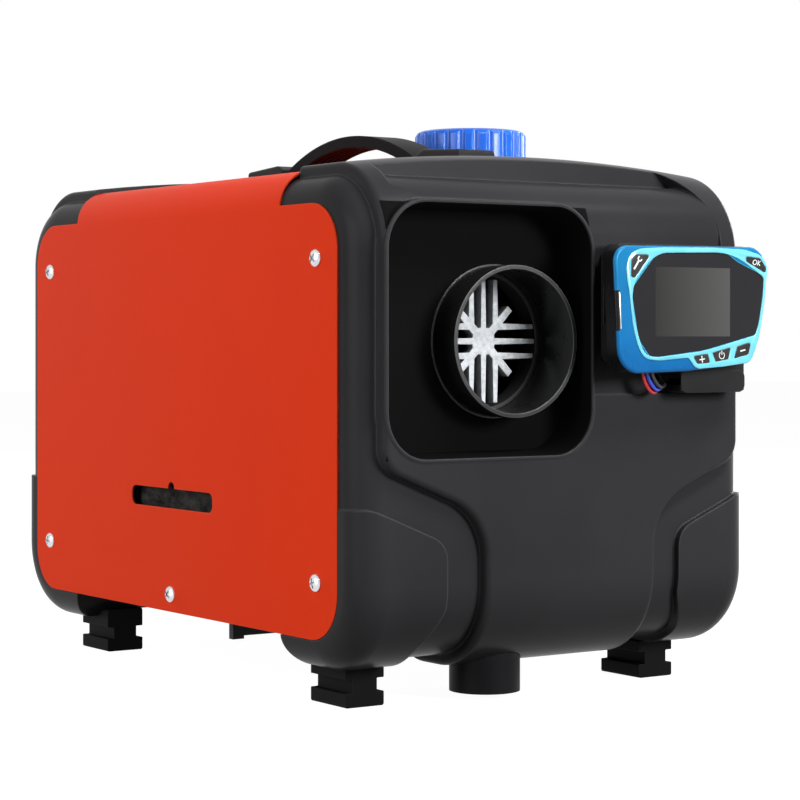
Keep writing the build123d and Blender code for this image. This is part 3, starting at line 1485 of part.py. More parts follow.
def controller_case():
    """Back half of the controller: closed at the back, a wire port below and a clip recess in each side."""
    (low_x, low_z), (_, high_z) = case_corners()
    body = slab_y(case_outline(), case_front_y, case_back_y)
    body -= slab_y(case_outline(case_wall), case_front_y - 1, case_floor_y)
    middle_y, middle_z = (case_front_y + case_back_y) / 2, (low_z + high_z) / 2
    clip_y = (middle_y - clip_length / 2, middle_y + clip_length / 2)
    clip_z = (middle_z - clip_height / 2, middle_z + clip_height / 2)
    body -= span_box((low_x - 1, low_x + clip_depth), clip_y, clip_z)
    start = wire_port_start()
    return body - span_box((start, start + wire_port_width), (case_front_y + bracket_gap, case_floor_y),
                           (low_z - 1, low_z + case_wall + 2))


def wire_port_start():
    return controller_x + controller_width * 0.265


def controller_bezel():
    """Front half: a hollow frame with the opening for the glass and five button holes."""
    front, back = controller_front_y, case_front_y
    body = slab_y(bezel_outline(), front, back)
    body = fillet(body.faces().sort_by(Axis.Y)[0].edges(), bezel_round)
    body -= slab_y(offset(bezel_outline(), -bezel_wall - bezel_round), front + bezel_face, back + 1)
    ledge = front + glass_sunk + glass_thickness
    body -= slab_y(offset(glass_outline(), glass_gap), front - 1, ledge)
    body -= slab_y(offset(glass_outline(), -glass_ledge), ledge - 1, back + 1)
    for area in (settings_outline(), ok_outline(), plus_outline(), power_outline(), minus_outline()):
        body -= slab_y(offset(area, button_gap), front - 1, back + 1)
    return body


def controller_glass():
    near = controller_front_y + glass_sunk
    return slab_y(glass_outline(), near, near + glass_thickness)


def controller_screen():
    near = controller_front_y + glass_sunk + glass_thickness
    (low_x, low_z), (high_x, high_z) = screen_corners()
    return span_box((low_x, high_x), (near, near + screen_thickness), (low_z, high_z))


def button(area):
    near = controller_front_y - button_proud
    return slab_y(area, near, near + button_length)


def block_corners():
    """Low and high X and Z of the block under the controller."""
    (_, low_z), (high_x, _) = case_corners()
    right, top = high_x - case_corner + block_corner / 2, low_z - 2 * case_wall + 1
    return (right - block_width, right), (top - block_height, top)


def controller_bracket():
    """Bracket on the front panel: a plate behind the controller and a block below it."""
    low_z = case_corners()[0][1]
    block_x, block_z = block_corners()
    plate = slab_y(case_outline(bracket_inset), case_back_y, -panel_y)
    block = slab_y(rounded_area(block_x, block_z, block_corner), -panel_y - block_reach, -panel_y)
    post = span_box((block_x[0] + 6, block_x[1] - 8), (case_back_y, -panel_y),
                    (block_z[1] - 2, low_z + bracket_inset + 8))
    rib = span_box((panel_half_width - bracket_gap, case_width), (-band_half_y - bracket_gap, 0),
                   (0, cover_top))
    return plate + block + post - rib


def wire_hole():
    """Middle of the wires' hole in the shell, left of the bracket's block."""
    block_x, block_z = block_corners()
    return block_x[0] - 5, block_z[1] - 6


def controller_wires():
    """Three wires from the controller's lower wall round to the hole in the front shell."""
    x, z = wire_hole()
    route = [(39.0, -193.0, 166.0), (40.0, -193.3, 156.5), (45.5, -192.6, 150.6), (52.5, -189.0, 152.0),
             (x, -181.5, z - 0.4), (x, -172.0, z)]
    wires = []
    for step in (-1, 0, 1):
        shift = wire_step * step
        points = [(px + shift, py - shift, pz + shift) for px, py, pz in route]
        wires.append(bent_tube("controller_wires", points, bend_radii(points), wire_radius))
    return wires


# --- Gland and mat --------------------------------------------------------------------------------
def power_gland():
    """Cable gland in the rear shell: thread, outer hexagon, nose and inner nut."""
    wall_in, wall_out = shell_half_y - shell_wall, band_half_y
    hexagon = Pos(gland_x, gland_z) * RegularPolygon(gland_width / 2, 6, major_radius=False)
    body = rod_y(gland_x, gland_z, gland_thread_radius, wall_in - gland_nut, wall_out + gland_flange)
    body += slab_y(hexagon, wall_out, wall_out + gland_flange) + slab_y(hexagon, wall_in - gland_nut, wall_in)
    nose = turned_y([(0, wall_out + gland_flange), (gland_width / 2 - 1, wall_out + gland_flange),
                     (gland_width / 2 - 3, wall_out + gland_flange + gland_nose),
                     (0, wall_out + gland_flange + gland_nose)],
                    gland_x, gland_z)
    return body + nose - rod_y(gland_x, gland_z, gland_bore_radius, wall_in - 20, wall_out + 30)


def insulation_mat():
    """Mat behind the left wall, pressed in behind the slot."""
    near = -shell_half_x + mat_gap
    half, span = shell_end_y - mat_end_gap, (cover_wall_bottom + mat_rise, cover_wall_top - mat_drop)
    body = slab_x(rounded_area((-half, half), span, mat_corner), near, near + mat_thickness)
    half_y, half_z = slot_length / 2 + mat_hollow_margin, slot_height / 2 + mat_hollow_margin
    return body - slab_x(rounded_area((-half_y, half_y), (slot_z - half_z, slot_z + half_z + 2), slot_corner),
                         near - 1, near + mat_hollow)


# --- Write the pieces -------------------------------------------------------------------------------
def write(name, shape):
    solids = []
    for item in (shape if isinstance(shape, list) else [shape]):
        solids += item.solids()
    whole = solids[0] if len(solids) == 1 else Compound(children=solids)
    export_step(whole, os.path.join("parts", name + ".step"))
    print(name, len(solids))


if __name__ == "__main__":
    os.makedirs("parts", exist_ok=True)
    write("front_shell", front_shell())
    write("rear_shell", rear_shell())
    write("cover", cover())
    write("cover_screws", cover_screws())
    write("base_tray", tray())
    write("cross_rail", cross_rail())
    write("base_screws", base_screws())
    front_foot = foot()
    write("foot_front_right", front_foot)
    write("foot_front_left", mirror(front_foot, about=Plane.YZ))
    write("foot_rear_right", rear(front_foot))
    write("foot_rear_left", Rot(0, 0, 180) * front_foot)
    write("handle_strap", handle_strap())
    write("handle_end_front", handle_block(-1))
    write("handle_end_rear", handle_block(1))
    write("handle_screws", handle_screws())
    write("insulation_mat", insulation_mat())
    write("fuel_tank", fuel_tank())
    write("filler_neck", filler_neck())
    write("fuel_cap", fuel_cap())
    write("cap_gasket", cap_gasket())
    write("fuel_filter", fuel_filter())
    write("fuel_pump", fuel_pump())
    write("pump_plunger", pump_plunger())
    write("pump_clamp", pump_clamp())
    write("fuel_line_tank", fuel_line_tank())
    write("fuel_line_pump", fuel_line_pump())
    write("fuel_line_burner", fuel_line_burner())
    write("casing_upper", casing_half(1))
    write("casing_lower", casing_half(-1))
    write("exchanger_fins", exchanger_fins())
    write("heat_exchanger", heat_exchanger())
    write("combustion_chamber", combustion_chamber())
    write("burner_housing", burner_housing())
    write("glow_plug", glow_plug())
    write("combustion_impeller", combustion_impeller())
    write("motor", motor())
    write("motor_shaft", motor_shaft())
    write("blower_fan", blower_fan())
    write("control_unit", control_unit())
    write("mount_gasket", mount_gasket())
    write("mount_nuts", mount_nuts())
    write("heater_stand", heater_stand())
    write("outlet_tube", outlet_tube())
    write("inlet_grille", inlet_grille())
    write("exhaust_pipe", exhaust_pipe())
    write("exhaust_clamp", exhaust_clamp())
    write("intake_hose", intake_hose())
    write("intake_silencer", intake_silencer())
    write("controller_case", controller_case())
    write("controller_bezel", controller_bezel())
    write("controller_glass", controller_glass())
    write("controller_screen", controller_screen())
    write("button_settings", button(settings_outline()))
    write("button_ok", button(ok_outline()))
    write("button_plus", button(plus_outline()))
    write("button_power", button(power_outline()))
    write("button_minus", button(minus_outline()))
    write("controller_bracket", controller_bracket())
    write("controller_wires", controller_wires())
    write("power_gland", power_gland())
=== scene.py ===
import math

import bmesh
import bpy
from mathutils import Matrix, Vector


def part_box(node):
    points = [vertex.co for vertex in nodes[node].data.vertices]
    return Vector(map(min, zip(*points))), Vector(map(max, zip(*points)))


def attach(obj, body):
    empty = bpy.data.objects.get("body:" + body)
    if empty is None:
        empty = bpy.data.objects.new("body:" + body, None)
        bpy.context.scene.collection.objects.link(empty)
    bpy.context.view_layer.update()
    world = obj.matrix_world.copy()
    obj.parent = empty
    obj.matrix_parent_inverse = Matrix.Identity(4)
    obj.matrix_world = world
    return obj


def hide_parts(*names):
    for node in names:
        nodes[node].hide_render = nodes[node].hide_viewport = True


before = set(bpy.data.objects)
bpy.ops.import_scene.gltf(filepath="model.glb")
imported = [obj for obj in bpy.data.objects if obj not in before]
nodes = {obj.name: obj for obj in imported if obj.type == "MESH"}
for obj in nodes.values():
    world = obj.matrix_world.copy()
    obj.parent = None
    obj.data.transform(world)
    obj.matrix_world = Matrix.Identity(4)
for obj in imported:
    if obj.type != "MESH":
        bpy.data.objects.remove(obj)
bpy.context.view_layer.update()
scene = bpy.context.scene

# --- Photographer's place ------------------------------------------------------------------------
# A level camera stands at the front left, a little above the middle of the case. Its picture is
# shifted down instead of tilted, so the upright edges of the case stay upright.
camera_data = bpy.data.cameras.new("front_left_view")
camera_data.lens = 106.2
camera_data.sensor_width = 36.0
camera_data.shift_y = -0.0775
camera_data.clip_start = 0.05
camera = bpy.data.objects.new("front_left_view", camera_data)
camera.location = (-0.710, -1.084, 0.1766)
camera.rotation_euler = (math.radians(90), 0, math.radians(-34.1))
scene.collection.objects.link(camera)
scene.camera = camera
scene.view_settings.view_transform = "Standard"

# --- End shells ----------------------------------------------------------------------------------
# The two end shells are deep black polypropylene mouldings with a satin surface and a very fine
# spark-eroded grain. Their edges are painted a little lighter as a highlight where the satin catches the
# light. They are screwed to the steel cover, and the tray and the tank stand between them.


def spread(parts, links, value, low, high, start=0.0, end=1.0):
    """Socket that goes from start to end while the socket value goes from low to high."""
    span = parts.new("ShaderNodeMapRange")
    span.inputs["From Min"].default_value = low
    span.inputs["From Max"].default_value = high
    span.inputs["To Min"].default_value = start
    span.inputs["To Max"].default_value = end
    links.new(value, span.inputs["Value"])
    return span.outputs["Result"]


def overlay(parts, links, share, under, over):
    """Colour socket that goes from the socket under to over, a socket or a tone, as share goes to 1."""
    blend = parts.new("ShaderNodeMix")
    blend.data_type = "RGBA"
    links.new(share, blend.inputs["Factor"])
    links.new(under, blend.inputs[6])
    if isinstance(over, tuple):
        blend.inputs[7].default_value = (*over, 1.0)
    else:
        links.new(over, blend.inputs[7])
    return blend.outputs[2]


def finish(name, tones, patch, rough, grain, depth, metallic=0.0, specular=0.5, stretch=(1, 1, 1)):
    """Material whose colour and roughness drift over soft patches, with a fine grain as bump.

    tones are the two colours, patch the scale of the patches, rough the two roughnesses,
    grain the scale of the grain and depth its height in metres.
    """
    material = bpy.data.materials.new(name)
    material.use_nodes = True
    parts, links = material.node_tree.nodes, material.node_tree.links
    shader = parts["Principled BSDF"]
    shader.inputs["Metallic"].default_value = metallic
    shader.inputs["Specular IOR Level"].default_value = specular
    place = parts.new("ShaderNodeTexCoord")
    turn = parts.new("ShaderNodeMapping")
    turn.inputs["Scale"].default_value = stretch
    links.new(place.outputs["Object"], turn.inputs["Vector"])
    drift = parts.new("ShaderNodeTexNoise")
    drift.inputs["Scale"].default_value = patch
    drift.inputs["Detail"].default_value = 4.0
    links.new(turn.outputs["Vector"], drift.inputs["Vector"])
    ramp = parts.new("ShaderNodeValToRGB")
    ramp.name = "tones"
    ramp.color_ramp.elements[0].position = 0.3
    ramp.color_ramp.elements[0].color = (*tones[0], 1.0)
    ramp.color_ramp.elements[1].position = 0.7
    ramp.color_ramp.elements[1].color = (*tones[1], 1.0)
    links.new(drift.outputs["Fac"], ramp.inputs["Fac"])
    links.new(ramp.outputs["Color"], shader.inputs["Base Color"])
    links.new(spread(parts, links, drift.outputs["Fac"], 0.3, 0.7, *rough), shader.inputs["Roughness"])
    fine = parts.new("ShaderNodeTexNoise")
    fine.inputs["Scale"].default_value = grain
    fine.inputs["Detail"].default_value = 3.0
    links.new(turn.outputs["Vector"], fine.inputs["Vector"])
    bump = parts.new("ShaderNodeBump")
    bump.name = "grain"
    bump.inputs["Strength"].default_value = 0.5
    bump.inputs["Distance"].default_value = depth
    links.new(fine.outputs["Fac"], bump.inputs["Height"])
    links.new(bump.outputs["Normal"], shader.inputs["Normal"])
    return material


def round_edges(material, radius, rub_and_highlight_tone=None, rub_and_highlight_share=1.0):
    """Softens a material's edges, and lightens them to rub_and_highlight_tone where one is given: rubbing and
    painted highlight.
    """
    parts, links = material.node_tree.nodes, material.node_tree.links
    edge = parts.new("ShaderNodeBevel")
    edge.samples = 6
    edge.inputs["Radius"].default_value = radius
    links.new(edge.outputs["Normal"], parts["grain"].inputs["Normal"])
    if rub_and_highlight_tone is None:
        return
    flat = parts.new("ShaderNodeNewGeometry")
    along = parts.new("ShaderNodeVectorMath")
    along.operation = "DOT_PRODUCT"
    links.new(edge.outputs["Normal"], along.inputs[0])
    links.new(flat.outputs["Normal"], along.inputs[1])
    level, turned = 0.995, 0.85
    # The lighter edge tone is partly rubbing on the edges and partly a painted highlight where the edges
    # catch the light.
    share = spread(parts, links, along.outputs["Value"], level, turned, 0.0, rub_and_highlight_share)
    rub_and_highlight_colour = overlay(parts, links, share, parts["tones"].outputs["Color"], rub_and_highlight_tone)
    links.new(rub_and_highlight_colour, parts["Principled BSDF"].inputs["Base Color"])


def settings(material):
    """The sockets of a material's shader, for values that are the same all over it."""
    return material.node_tree.nodes["Principled BSDF"].inputs


def dress(material, *names):
    """Puts one material on CAD nodes."""
    for name in names:
        node = nodes[name]
        node.data.materials.clear()
        node.data.materials.append(material)


def axes(parts, links):
    """Sockets X, Y and Z of the place on the object."""
    split = parts.new("ShaderNodeSeparateXYZ")
    links.new(parts["Texture Coordinate"].outputs["Object"], split.inputs["Vector"])
    return split.outputs


def within(parts, links, limits):
    """Socket that is 1 where each (socket, low, high) lies between its limits, and 0 elsewhere."""
    inside = None
    for value, low, high in limits:
        for limit, sense in ((low, "GREATER_THAN"), (high, "LESS_THAN")):
            test = parts.new("ShaderNodeMath")
            test.operation = sense
            test.inputs[1].default_value = limit
            links.new(value, test.inputs[0])
            if inside is None:
                inside = test.outputs["Value"]
                continue
            both = parts.new("ShaderNodeMath")
            both.operation = "MULTIPLY"
            links.new(inside, both.inputs[0])
            links.new(test.outputs["Value"], both.inputs[1])
            inside = both.outputs["Value"]
    return inside


moulding = finish("black_moulding", ((0.021, 0.021, 0.0225), (0.029, 0.029, 0.031)), patch=9.0,
                  rough=(0.27, 0.33), grain=1500.0, depth=0.00005, specular=0.035)
# The lighter edge tone here is a painted highlight where the satin edges catch the light.
round_edges(moulding, 0.0014, rub_and_highlight_tone=(0.070, 0.070, 0.075), rub_and_highlight_share=0.8)
dress(moulding, "front_shell", "rear_shell")

# The window recess in each shell is left coarse from the tool, so it is rougher. Its colour there is darkened
# to a near black as painted shade.
recess_x, recess_z, recess_y = (-0.1069, 0.0132), (0.1198, 0.2402), (0.150, 0.1825)
recess_shade_tone, recess_roughness = (0.003, 0.003, 0.003), 0.75
parts, links = moulding.node_tree.nodes, moulding.node_tree.links
axis = axes(parts, links)
from_middle = parts.new("ShaderNodeMath")
from_middle.operation = "ABSOLUTE"
links.new(axis["Y"], from_middle.inputs[0])
recess = within(parts, links, ((axis["X"], *recess_x), (axis["Z"], *recess_z),
                               (from_middle.outputs["Value"], *recess_y)))
shell_colour = overlay(parts, links, recess, parts["Mix"].outputs[2], recess_shade_tone)
links.new(shell_colour, settings(moulding)["Base Color"])
coarse = parts.new("ShaderNodeMix")
links.new(recess, coarse.inputs["Factor"])
links.new(parts["Map Range"].outputs["Result"], coarse.inputs[2])
coarse.inputs[3].default_value = recess_roughness
links.new(coarse.outputs[0], settings(moulding)["Roughness"])

# --- Steel cover ---------------------------------------------------------------------------------
# One sheet of steel bent over both sides and the top, powder coated orange red. The coat is smooth
# with a faint orange-peel surface, and it is thinner and lighter along the cut edges.
cover_coat = finish("orange_powder_coat", ((0.72, 0.036, 0.004), (0.77, 0.041, 0.006)), patch=5.0,
                    rough=(0.42, 0.50), grain=380.0, depth=0.00008, specular=0.05)
round_edges(cover_coat, 0.0008, rub_and_highlight_tone=(0.80, 0.10, 0.035), rub_and_highlight_share=0.7)
dress(cover_coat, "cover")

# --- Cover screws --------------------------------------------------------------------------------
# Ten zinc-plated pan-head screws hold the cover to the shells, five in each side wall. Each head is
# cold formed with a cross recess.
bright_zinc = finish("bright_zinc", ((0.58, 0.60, 0.63), (0.72, 0.73, 0.75)), patch=160.0,
                     rough=(0.18, 0.32), grain=2400.0, depth=0.00004, metallic=1.0)
weld = 0.000001


def add_piece(name, sheet, material, body):
    """Makes a bmesh an object of its own, facing outwards, that rides on a body."""
    bmesh.ops.remove_doubles(sheet, verts=sheet.verts[:], dist=weld)
    bmesh.ops.recalc_face_normals(sheet, faces=sheet.faces[:])
    mesh = bpy.data.meshes.new(name)
    sheet.to_mesh(mesh)
    sheet.free()
    mesh.materials.append(material)
    piece = bpy.data.objects.new(name, mesh)
    scene.collection.objects.link(piece)
    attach(piece, body)
    return piece


def smooth_edges(piece, angle=35):
    """Smooth shading, with edges sharper than the angle kept."""
    piece.data.shade_smooth()
    piece.data.set_sharp_from_angle(angle=math.radians(angle))


def add_block(sheet, size, place, turn=0.0, axis="Y"):
    """Adds a box to a bmesh, turned about an axis by some degrees; returns its vertices."""
    block = bmesh.ops.create_cube(sheet, size=1.0)["verts"]
    bmesh.ops.scale(sheet, vec=size, verts=block)
    bmesh.ops.rotate(sheet, cent=(0, 0, 0), matrix=Matrix.Rotation(math.radians(turn), 3, axis), verts=block)
    bmesh.ops.translate(sheet, vec=place, verts=block)
    return block


def punch_out(blank, punch):
    """Cuts one closed bmesh out of another, and returns the mesh that is left."""
    tools = []
    for name, sheet in (("blank", blank), ("punch", punch)):
        mesh = bpy.data.meshes.new(name)
        sheet.to_mesh(mesh)
        sheet.free()
        tool = bpy.data.objects.new(name, mesh)
        scene.collection.objects.link(tool)
        tools.append(tool)
    cut = tools[0].modifiers.new("cut", "BOOLEAN")
    cut.operation = "DIFFERENCE"
    cut.solver = "EXACT"
    cut.use_self = True
    cut.object = tools[1]
    bpy.context.view_layer.update()
    left_over = bpy.data.meshes.new_from_object(tools[0].evaluated_get(bpy.context.evaluated_depsgraph_get()))
    for tool in tools:
        bpy.data.objects.remove(tool)
    return left_over


head_radius, head_height = 0.00435, 0.0026
cross_arm = (0.003, 0.00095, 0.0049)
screw_seat_x = 0.120
first_turn, turn_step = 17, 31
screw_places = [(end * 0.1423, z) for end in (-1, 1) for z in (0.0613, 0.2142)] + [(0.0, 0.0433)]
head = bmesh.new()
head_profile = [(0.0, 0.0), (0.0, head_radius), (0.0007, head_radius), (0.0013, head_radius * 0.93),
                (0.0019, head_radius * 0.76), (0.0024, head_radius * 0.5), (head_height, head_radius * 0.22),
                (head_height, 0.0)]
corners = [head.verts.new((x, 0.0, radius)) for x, radius in head_profile]
edges = [head.edges.new(pair) for pair in zip(corners, corners[1:])]
bmesh.ops.spin(head, geom=corners + edges, cent=(0, 0, 0), axis=(1, 0, 0), angle=math.tau, steps=28,
               use_merge=True)
bmesh.ops.remove_doubles(head, verts=head.verts[:], dist=weld)
bmesh.ops.recalc_face_normals(head, faces=head.faces[:])
cross = bmesh.new()
for turn in (0, 90):
    add_block(cross, cross_arm, (head_height, 0, 0), turn, "X")
recessed = punch_out(head, cross)
screws = bmesh.new()
for side in (-1, 1):
    for count, (y, z) in enumerate(screw_places):
        before = len(screws.verts)
        screws.from_mesh(recessed)
        screws.verts.ensure_lookup_table()
        turn = Matrix.Rotation(math.radians(first_turn + turn_step * count), 4, "X")
        facing = Matrix.Rotation(0 if side > 0 else math.pi, 4, "Z")
        spot = Matrix.Translation((side * screw_seat_x, y, z))
        bmesh.ops.transform(screws, matrix=spot @ facing @ turn, verts=screws.verts[before:])
screws = add_piece("cover_screw_heads", screws, bright_zinc, "case")
smooth_edges(screws, 40)
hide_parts("cover_screws")

# --- Other fasteners -----------------------------------------------------------------------------
# The screws under the tray and the handle, the nuts of the heater and the two bent clamps are zinc
# plated too, a little duller where they were handled.
dull_zinc = finish("dull_zinc", ((0.45, 0.46, 0.47), (0.60, 0.61, 0.62)), patch=70.0, rough=(0.30, 0.48),
                   grain=1600.0, depth=0.00005, metallic=1.0)
round_edges(dull_zinc, 0.0003, rub_and_highlight_tone=(0.75, 0.76, 0.77), rub_and_highlight_share=0.5)
dress(dull_zinc, "base_screws", "handle_screws", "mount_nuts", "exhaust_clamp", "pump_clamp")

# --- Base tray, rail and stand -------------------------------------------------------------------
# Folded steel sheet with a matt black powder coat: the tray between the shells, the angle rail under
# it, and the stand that carries the heater.
sheet_coat = finish("black_powder_coat", ((0.009, 0.009, 0.009), (0.014, 0.014, 0.014)), patch=12.0,
                    rough=(0.50, 0.62), grain=700.0, depth=0.00012, specular=0.2)
round_edges(sheet_coat, 0.0006, rub_and_highlight_tone=(0.050, 0.050, 0.050), rub_and_highlight_share=0.7)
dress(sheet_coat, "base_tray", "cross_rail", "heater_stand")

# --- Feet ----------------------------------------------------------------------------------------
# Four short lengths of an extruded black rubber section, screwed up into the shells. The rubber is
# matt, with fine draw lines along the section and grey dust on its edges.
foot_rubber = finish("foot_rubber", ((0.003, 0.003, 0.003), (0.007, 0.007, 0.007)), patch=60.0,
                     rough=(0.60, 0.75), grain=900.0, depth=0.0001, specular=0.06, stretch=(1, 0.08, 1))
round_edges(foot_rubber, 0.0006, rub_and_highlight_tone=(0.035, 0.034, 0.032), rub_and_highlight_share=0.6)
dress(foot_rubber, "foot_front_left", "foot_front_right", "foot_rear_left", "foot_rear_right")

# --- Handle --------------------------------------------------------------------------------------
# A bowed strap of black synthetic rubber with cross grooves under its crown. Its ends are clamped in
# two moulded blocks that are screwed through the cover.
strap_rubber = finish("strap_rubber", ((0.003, 0.003, 0.0035), (0.006, 0.006, 0.007)), patch=40.0,
                      rough=(0.46, 0.56), grain=1300.0, depth=0.0001, specular=0.05, stretch=(1, 0.3, 1))
round_edges(strap_rubber, 0.0012, rub_and_highlight_tone=(0.032, 0.032, 0.034), rub_and_highlight_share=0.6)
dress(strap_rubber, "handle_strap")
block_plastic = finish("handle_block_plastic", ((0.009, 0.009, 0.0095), (0.015, 0.015, 0.0165)), patch=30.0,
                       rough=(0.38, 0.46), grain=1600.0, depth=0.00005, specular=0.10)
round_edges(block_plastic, 0.0010, rub_and_highlight_tone=(0.05, 0.05, 0.053), rub_and_highlight_share=0.7)
dress(block_plastic, "handle_end_front", "handle_end_rear")

# --- Insulation mat ------------------------------------------------------------------------------
# Needled felt behind the left side wall, dark and lumpy, with a rough woolly surface. It shows
# through the slot in the cover.
felt = finish("needled_felt", ((0.004, 0.004, 0.004), (0.050, 0.047, 0.043)), patch=260.0,
              rough=(0.85, 0.98), grain=900.0, depth=0.0006, specular=0.05, stretch=(1, 0.5, 1))
settings(felt)["Sheen Weight"].default_value = 0.05
felt.node_tree.nodes["grain"].inputs["Strength"].default_value = 1.0
dress(felt, "insulation_mat")

# --- Fuel tank and filler ------------------------------------------------------------------------
# A blow-moulded tank of milky polyethylene with an elbow for the fuel line, and a black filler neck
# that comes up through the cover. The cap seals on a ring of rubber.
tank_wall = finish("milky_polyethylene", ((0.66, 0.65, 0.59), (0.74, 0.73, 0.68)), patch=11.0,
                   rough=(0.38, 0.50), grain=260.0, depth=0.0002, specular=0.4)
settings(tank_wall)["Subsurface Weight"].default_value = 0.15
settings(tank_wall)["Subsurface Radius"].default_value = (0.004, 0.004, 0.003)
round_edges(tank_wall, 0.0015)
dress(tank_wall, "fuel_tank")
neck_plastic = finish("neck_plastic", ((0.013, 0.013, 0.014), (0.019, 0.019, 0.020)), patch=40.0,
                      rough=(0.34, 0.42), grain=1500.0, depth=0.00004, specular=0.35)
round_edges(neck_plastic, 0.0006, rub_and_highlight_tone=(0.05, 0.05, 0.05), rub_and_highlight_share=0.6)
dress(neck_plastic, "filler_neck")
ring_rubber = finish("ring_rubber", ((0.012, 0.012, 0.012), (0.020, 0.019, 0.018)), patch=80.0,
                     rough=(0.55, 0.70), grain=1100.0, depth=0.00008, specular=0.25)
round_edges(ring_rubber, 0.0004, rub_and_highlight_tone=(0.035, 0.035, 0.035), rub_and_highlight_share=0.5)
dress(ring_rubber, "cap_gasket", "mount_gasket")

# --- Fuel cap ------------------------------------------------------------------------------------
# A glossy royal blue moulding with grip ribs down its skirt. The edges of the ribs are painted a paler
# blue as a highlight, so the hollows between them read a deeper blue.
cap_plastic = finish("blue_cap_plastic", ((0.003, 0.095, 0.56), (0.006, 0.13, 0.72)), patch=30.0,
                     rough=(0.22, 0.30), grain=700.0, depth=0.00004, specular=0.3)
round_edges(cap_plastic, 0.0009, rub_and_highlight_tone=(0.05, 0.30, 0.92), rub_and_highlight_share=0.8)
settings(cap_plastic)["Coat Weight"].default_value = 0.1
settings(cap_plastic)["Coat Roughness"].default_value = 0.12
dress(cap_plastic, "fuel_cap")

# --- Fuel lines, filter and pump -----------------------------------------------------------------
# Stiff nylon line joins the tank, a clear filter, the dosing pump and the burner. The pump is a
# plated steel barrel with a plunger of ground steel, held by a bent clip.
line_nylon = finish("fuel_line_nylon", ((0.32, 0.35, 0.32), (0.42, 0.45, 0.41)), patch=50.0,
                    rough=(0.30, 0.40), grain=900.0, depth=0.00004, specular=0.45)
round_edges(line_nylon, 0.0003)
dress(line_nylon, "fuel_line_tank", "fuel_line_pump", "fuel_line_burner")
filter_body = finish("filter_body", ((0.55, 0.57, 0.55), (0.66, 0.68, 0.66)), patch=45.0,
                     rough=(0.18, 0.28), grain=500.0, depth=0.00005, specular=0.5)
round_edges(filter_body, 0.0004)
dress(filter_body, "fuel_filter")
pump_plating = finish("pump_plating", ((0.30, 0.30, 0.31), (0.42, 0.42, 0.43)), patch=60.0,
                      rough=(0.28, 0.42), grain=1500.0, depth=0.00004, metallic=1.0, stretch=(1, 0.1, 1))
round_edges(pump_plating, 0.0004, rub_and_highlight_tone=(0.6, 0.6, 0.6), rub_and_highlight_share=0.6)
dress(pump_plating, "fuel_pump")
ground_steel = finish("ground_steel", ((0.52, 0.52, 0.53), (0.64, 0.64, 0.65)), patch=90.0,
                      rough=(0.14, 0.24), grain=2600.0, depth=0.00002, metallic=1.0, stretch=(0.2, 3, 0.2))
round_edges(ground_steel, 0.0003)
dress(ground_steel, "pump_plunger", "motor_shaft")

# --- Heater --------------------------------------------------------------------------------------
# Two glass-filled nylon casing halves close round a finned aluminium casting. The casting holds the
# steel combustion chamber, and the burner, the motor and both wheels sit behind it on one shaft.
casing_nylon = finish("casing_nylon", ((0.016, 0.016, 0.017), (0.030, 0.030, 0.031)), patch=25.0,
                      rough=(0.48, 0.62), grain=800.0, depth=0.00012, specular=0.3)
round_edges(casing_nylon, 0.0008, rub_and_highlight_tone=(0.06, 0.06, 0.06), rub_and_highlight_share=0.5)
dress(casing_nylon, "casing_upper", "casing_lower", "control_unit")
wheel_nylon = finish("wheel_nylon", ((0.022, 0.022, 0.023), (0.034, 0.034, 0.035)), patch=45.0,
                     rough=(0.40, 0.52), grain=1200.0, depth=0.00006, specular=0.35)
round_edges(wheel_nylon, 0.0004, rub_and_highlight_tone=(0.06, 0.06, 0.06), rub_and_highlight_share=0.4)
dress(wheel_nylon, "blower_fan", "combustion_impeller")
cast_alloy = finish("cast_alloy", ((0.40, 0.42, 0.44), (0.66, 0.69, 0.72)), patch=420.0, rough=(0.42, 0.60),
                    grain=850.0, depth=0.00025, metallic=0.1)
round_edges(cast_alloy, 0.0008, rub_and_highlight_tone=(0.88, 0.90, 0.92), rub_and_highlight_share=0.6)
dress(cast_alloy, "heat_exchanger", "exchanger_fins", "burner_housing")

# Only the front of the casting keeps its bright tone. Behind it, between the fins, the colour is darkened to
# near black as painted shade.
parts, links = cast_alloy.node_tree.nodes, cast_alloy.node_tree.links
fin_front = min(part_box(name)[0][1] for name in ("heat_exchanger", "exchanger_fins"))
fin_shade_start, fin_shade_full, fin_shade_tone = 0.0008, 0.0060, (0.012, 0.012, 0.012)
behind = spread(parts, links, axes(parts, links)["Y"], fin_front + fin_shade_start, fin_front + fin_shade_full)
fin_shade_colour = overlay(parts, links, behind, parts["Mix"].outputs[2], fin_shade_tone)
links.new(fin_shade_colour, settings(cast_alloy)["Base Color"])
heated_steel = finish("heated_steel", ((0.16, 0.13, 0.11), (0.34, 0.31, 0.28)), patch=35.0,
                      rough=(0.38, 0.60), grain=900.0, depth=0.00012, metallic=0.9)
round_edges(heated_steel, 0.0005, rub_and_highlight_tone=(0.45, 0.42, 0.38), rub_and_highlight_share=0.5)
dress(heated_steel, "combustion_chamber", "exhaust_pipe", "glow_plug")
motor_can = finish("motor_can", ((0.36, 0.36, 0.37), (0.48, 0.48, 0.49)), patch=40.0, rough=(0.26, 0.38),
                   grain=1800.0, depth=0.00004, metallic=1.0, stretch=(1, 0.15, 1))
round_edges(motor_can, 0.0005, rub_and_highlight_tone=(0.62, 0.62, 0.63), rub_and_highlight_share=0.5)
dress(motor_can, "motor")

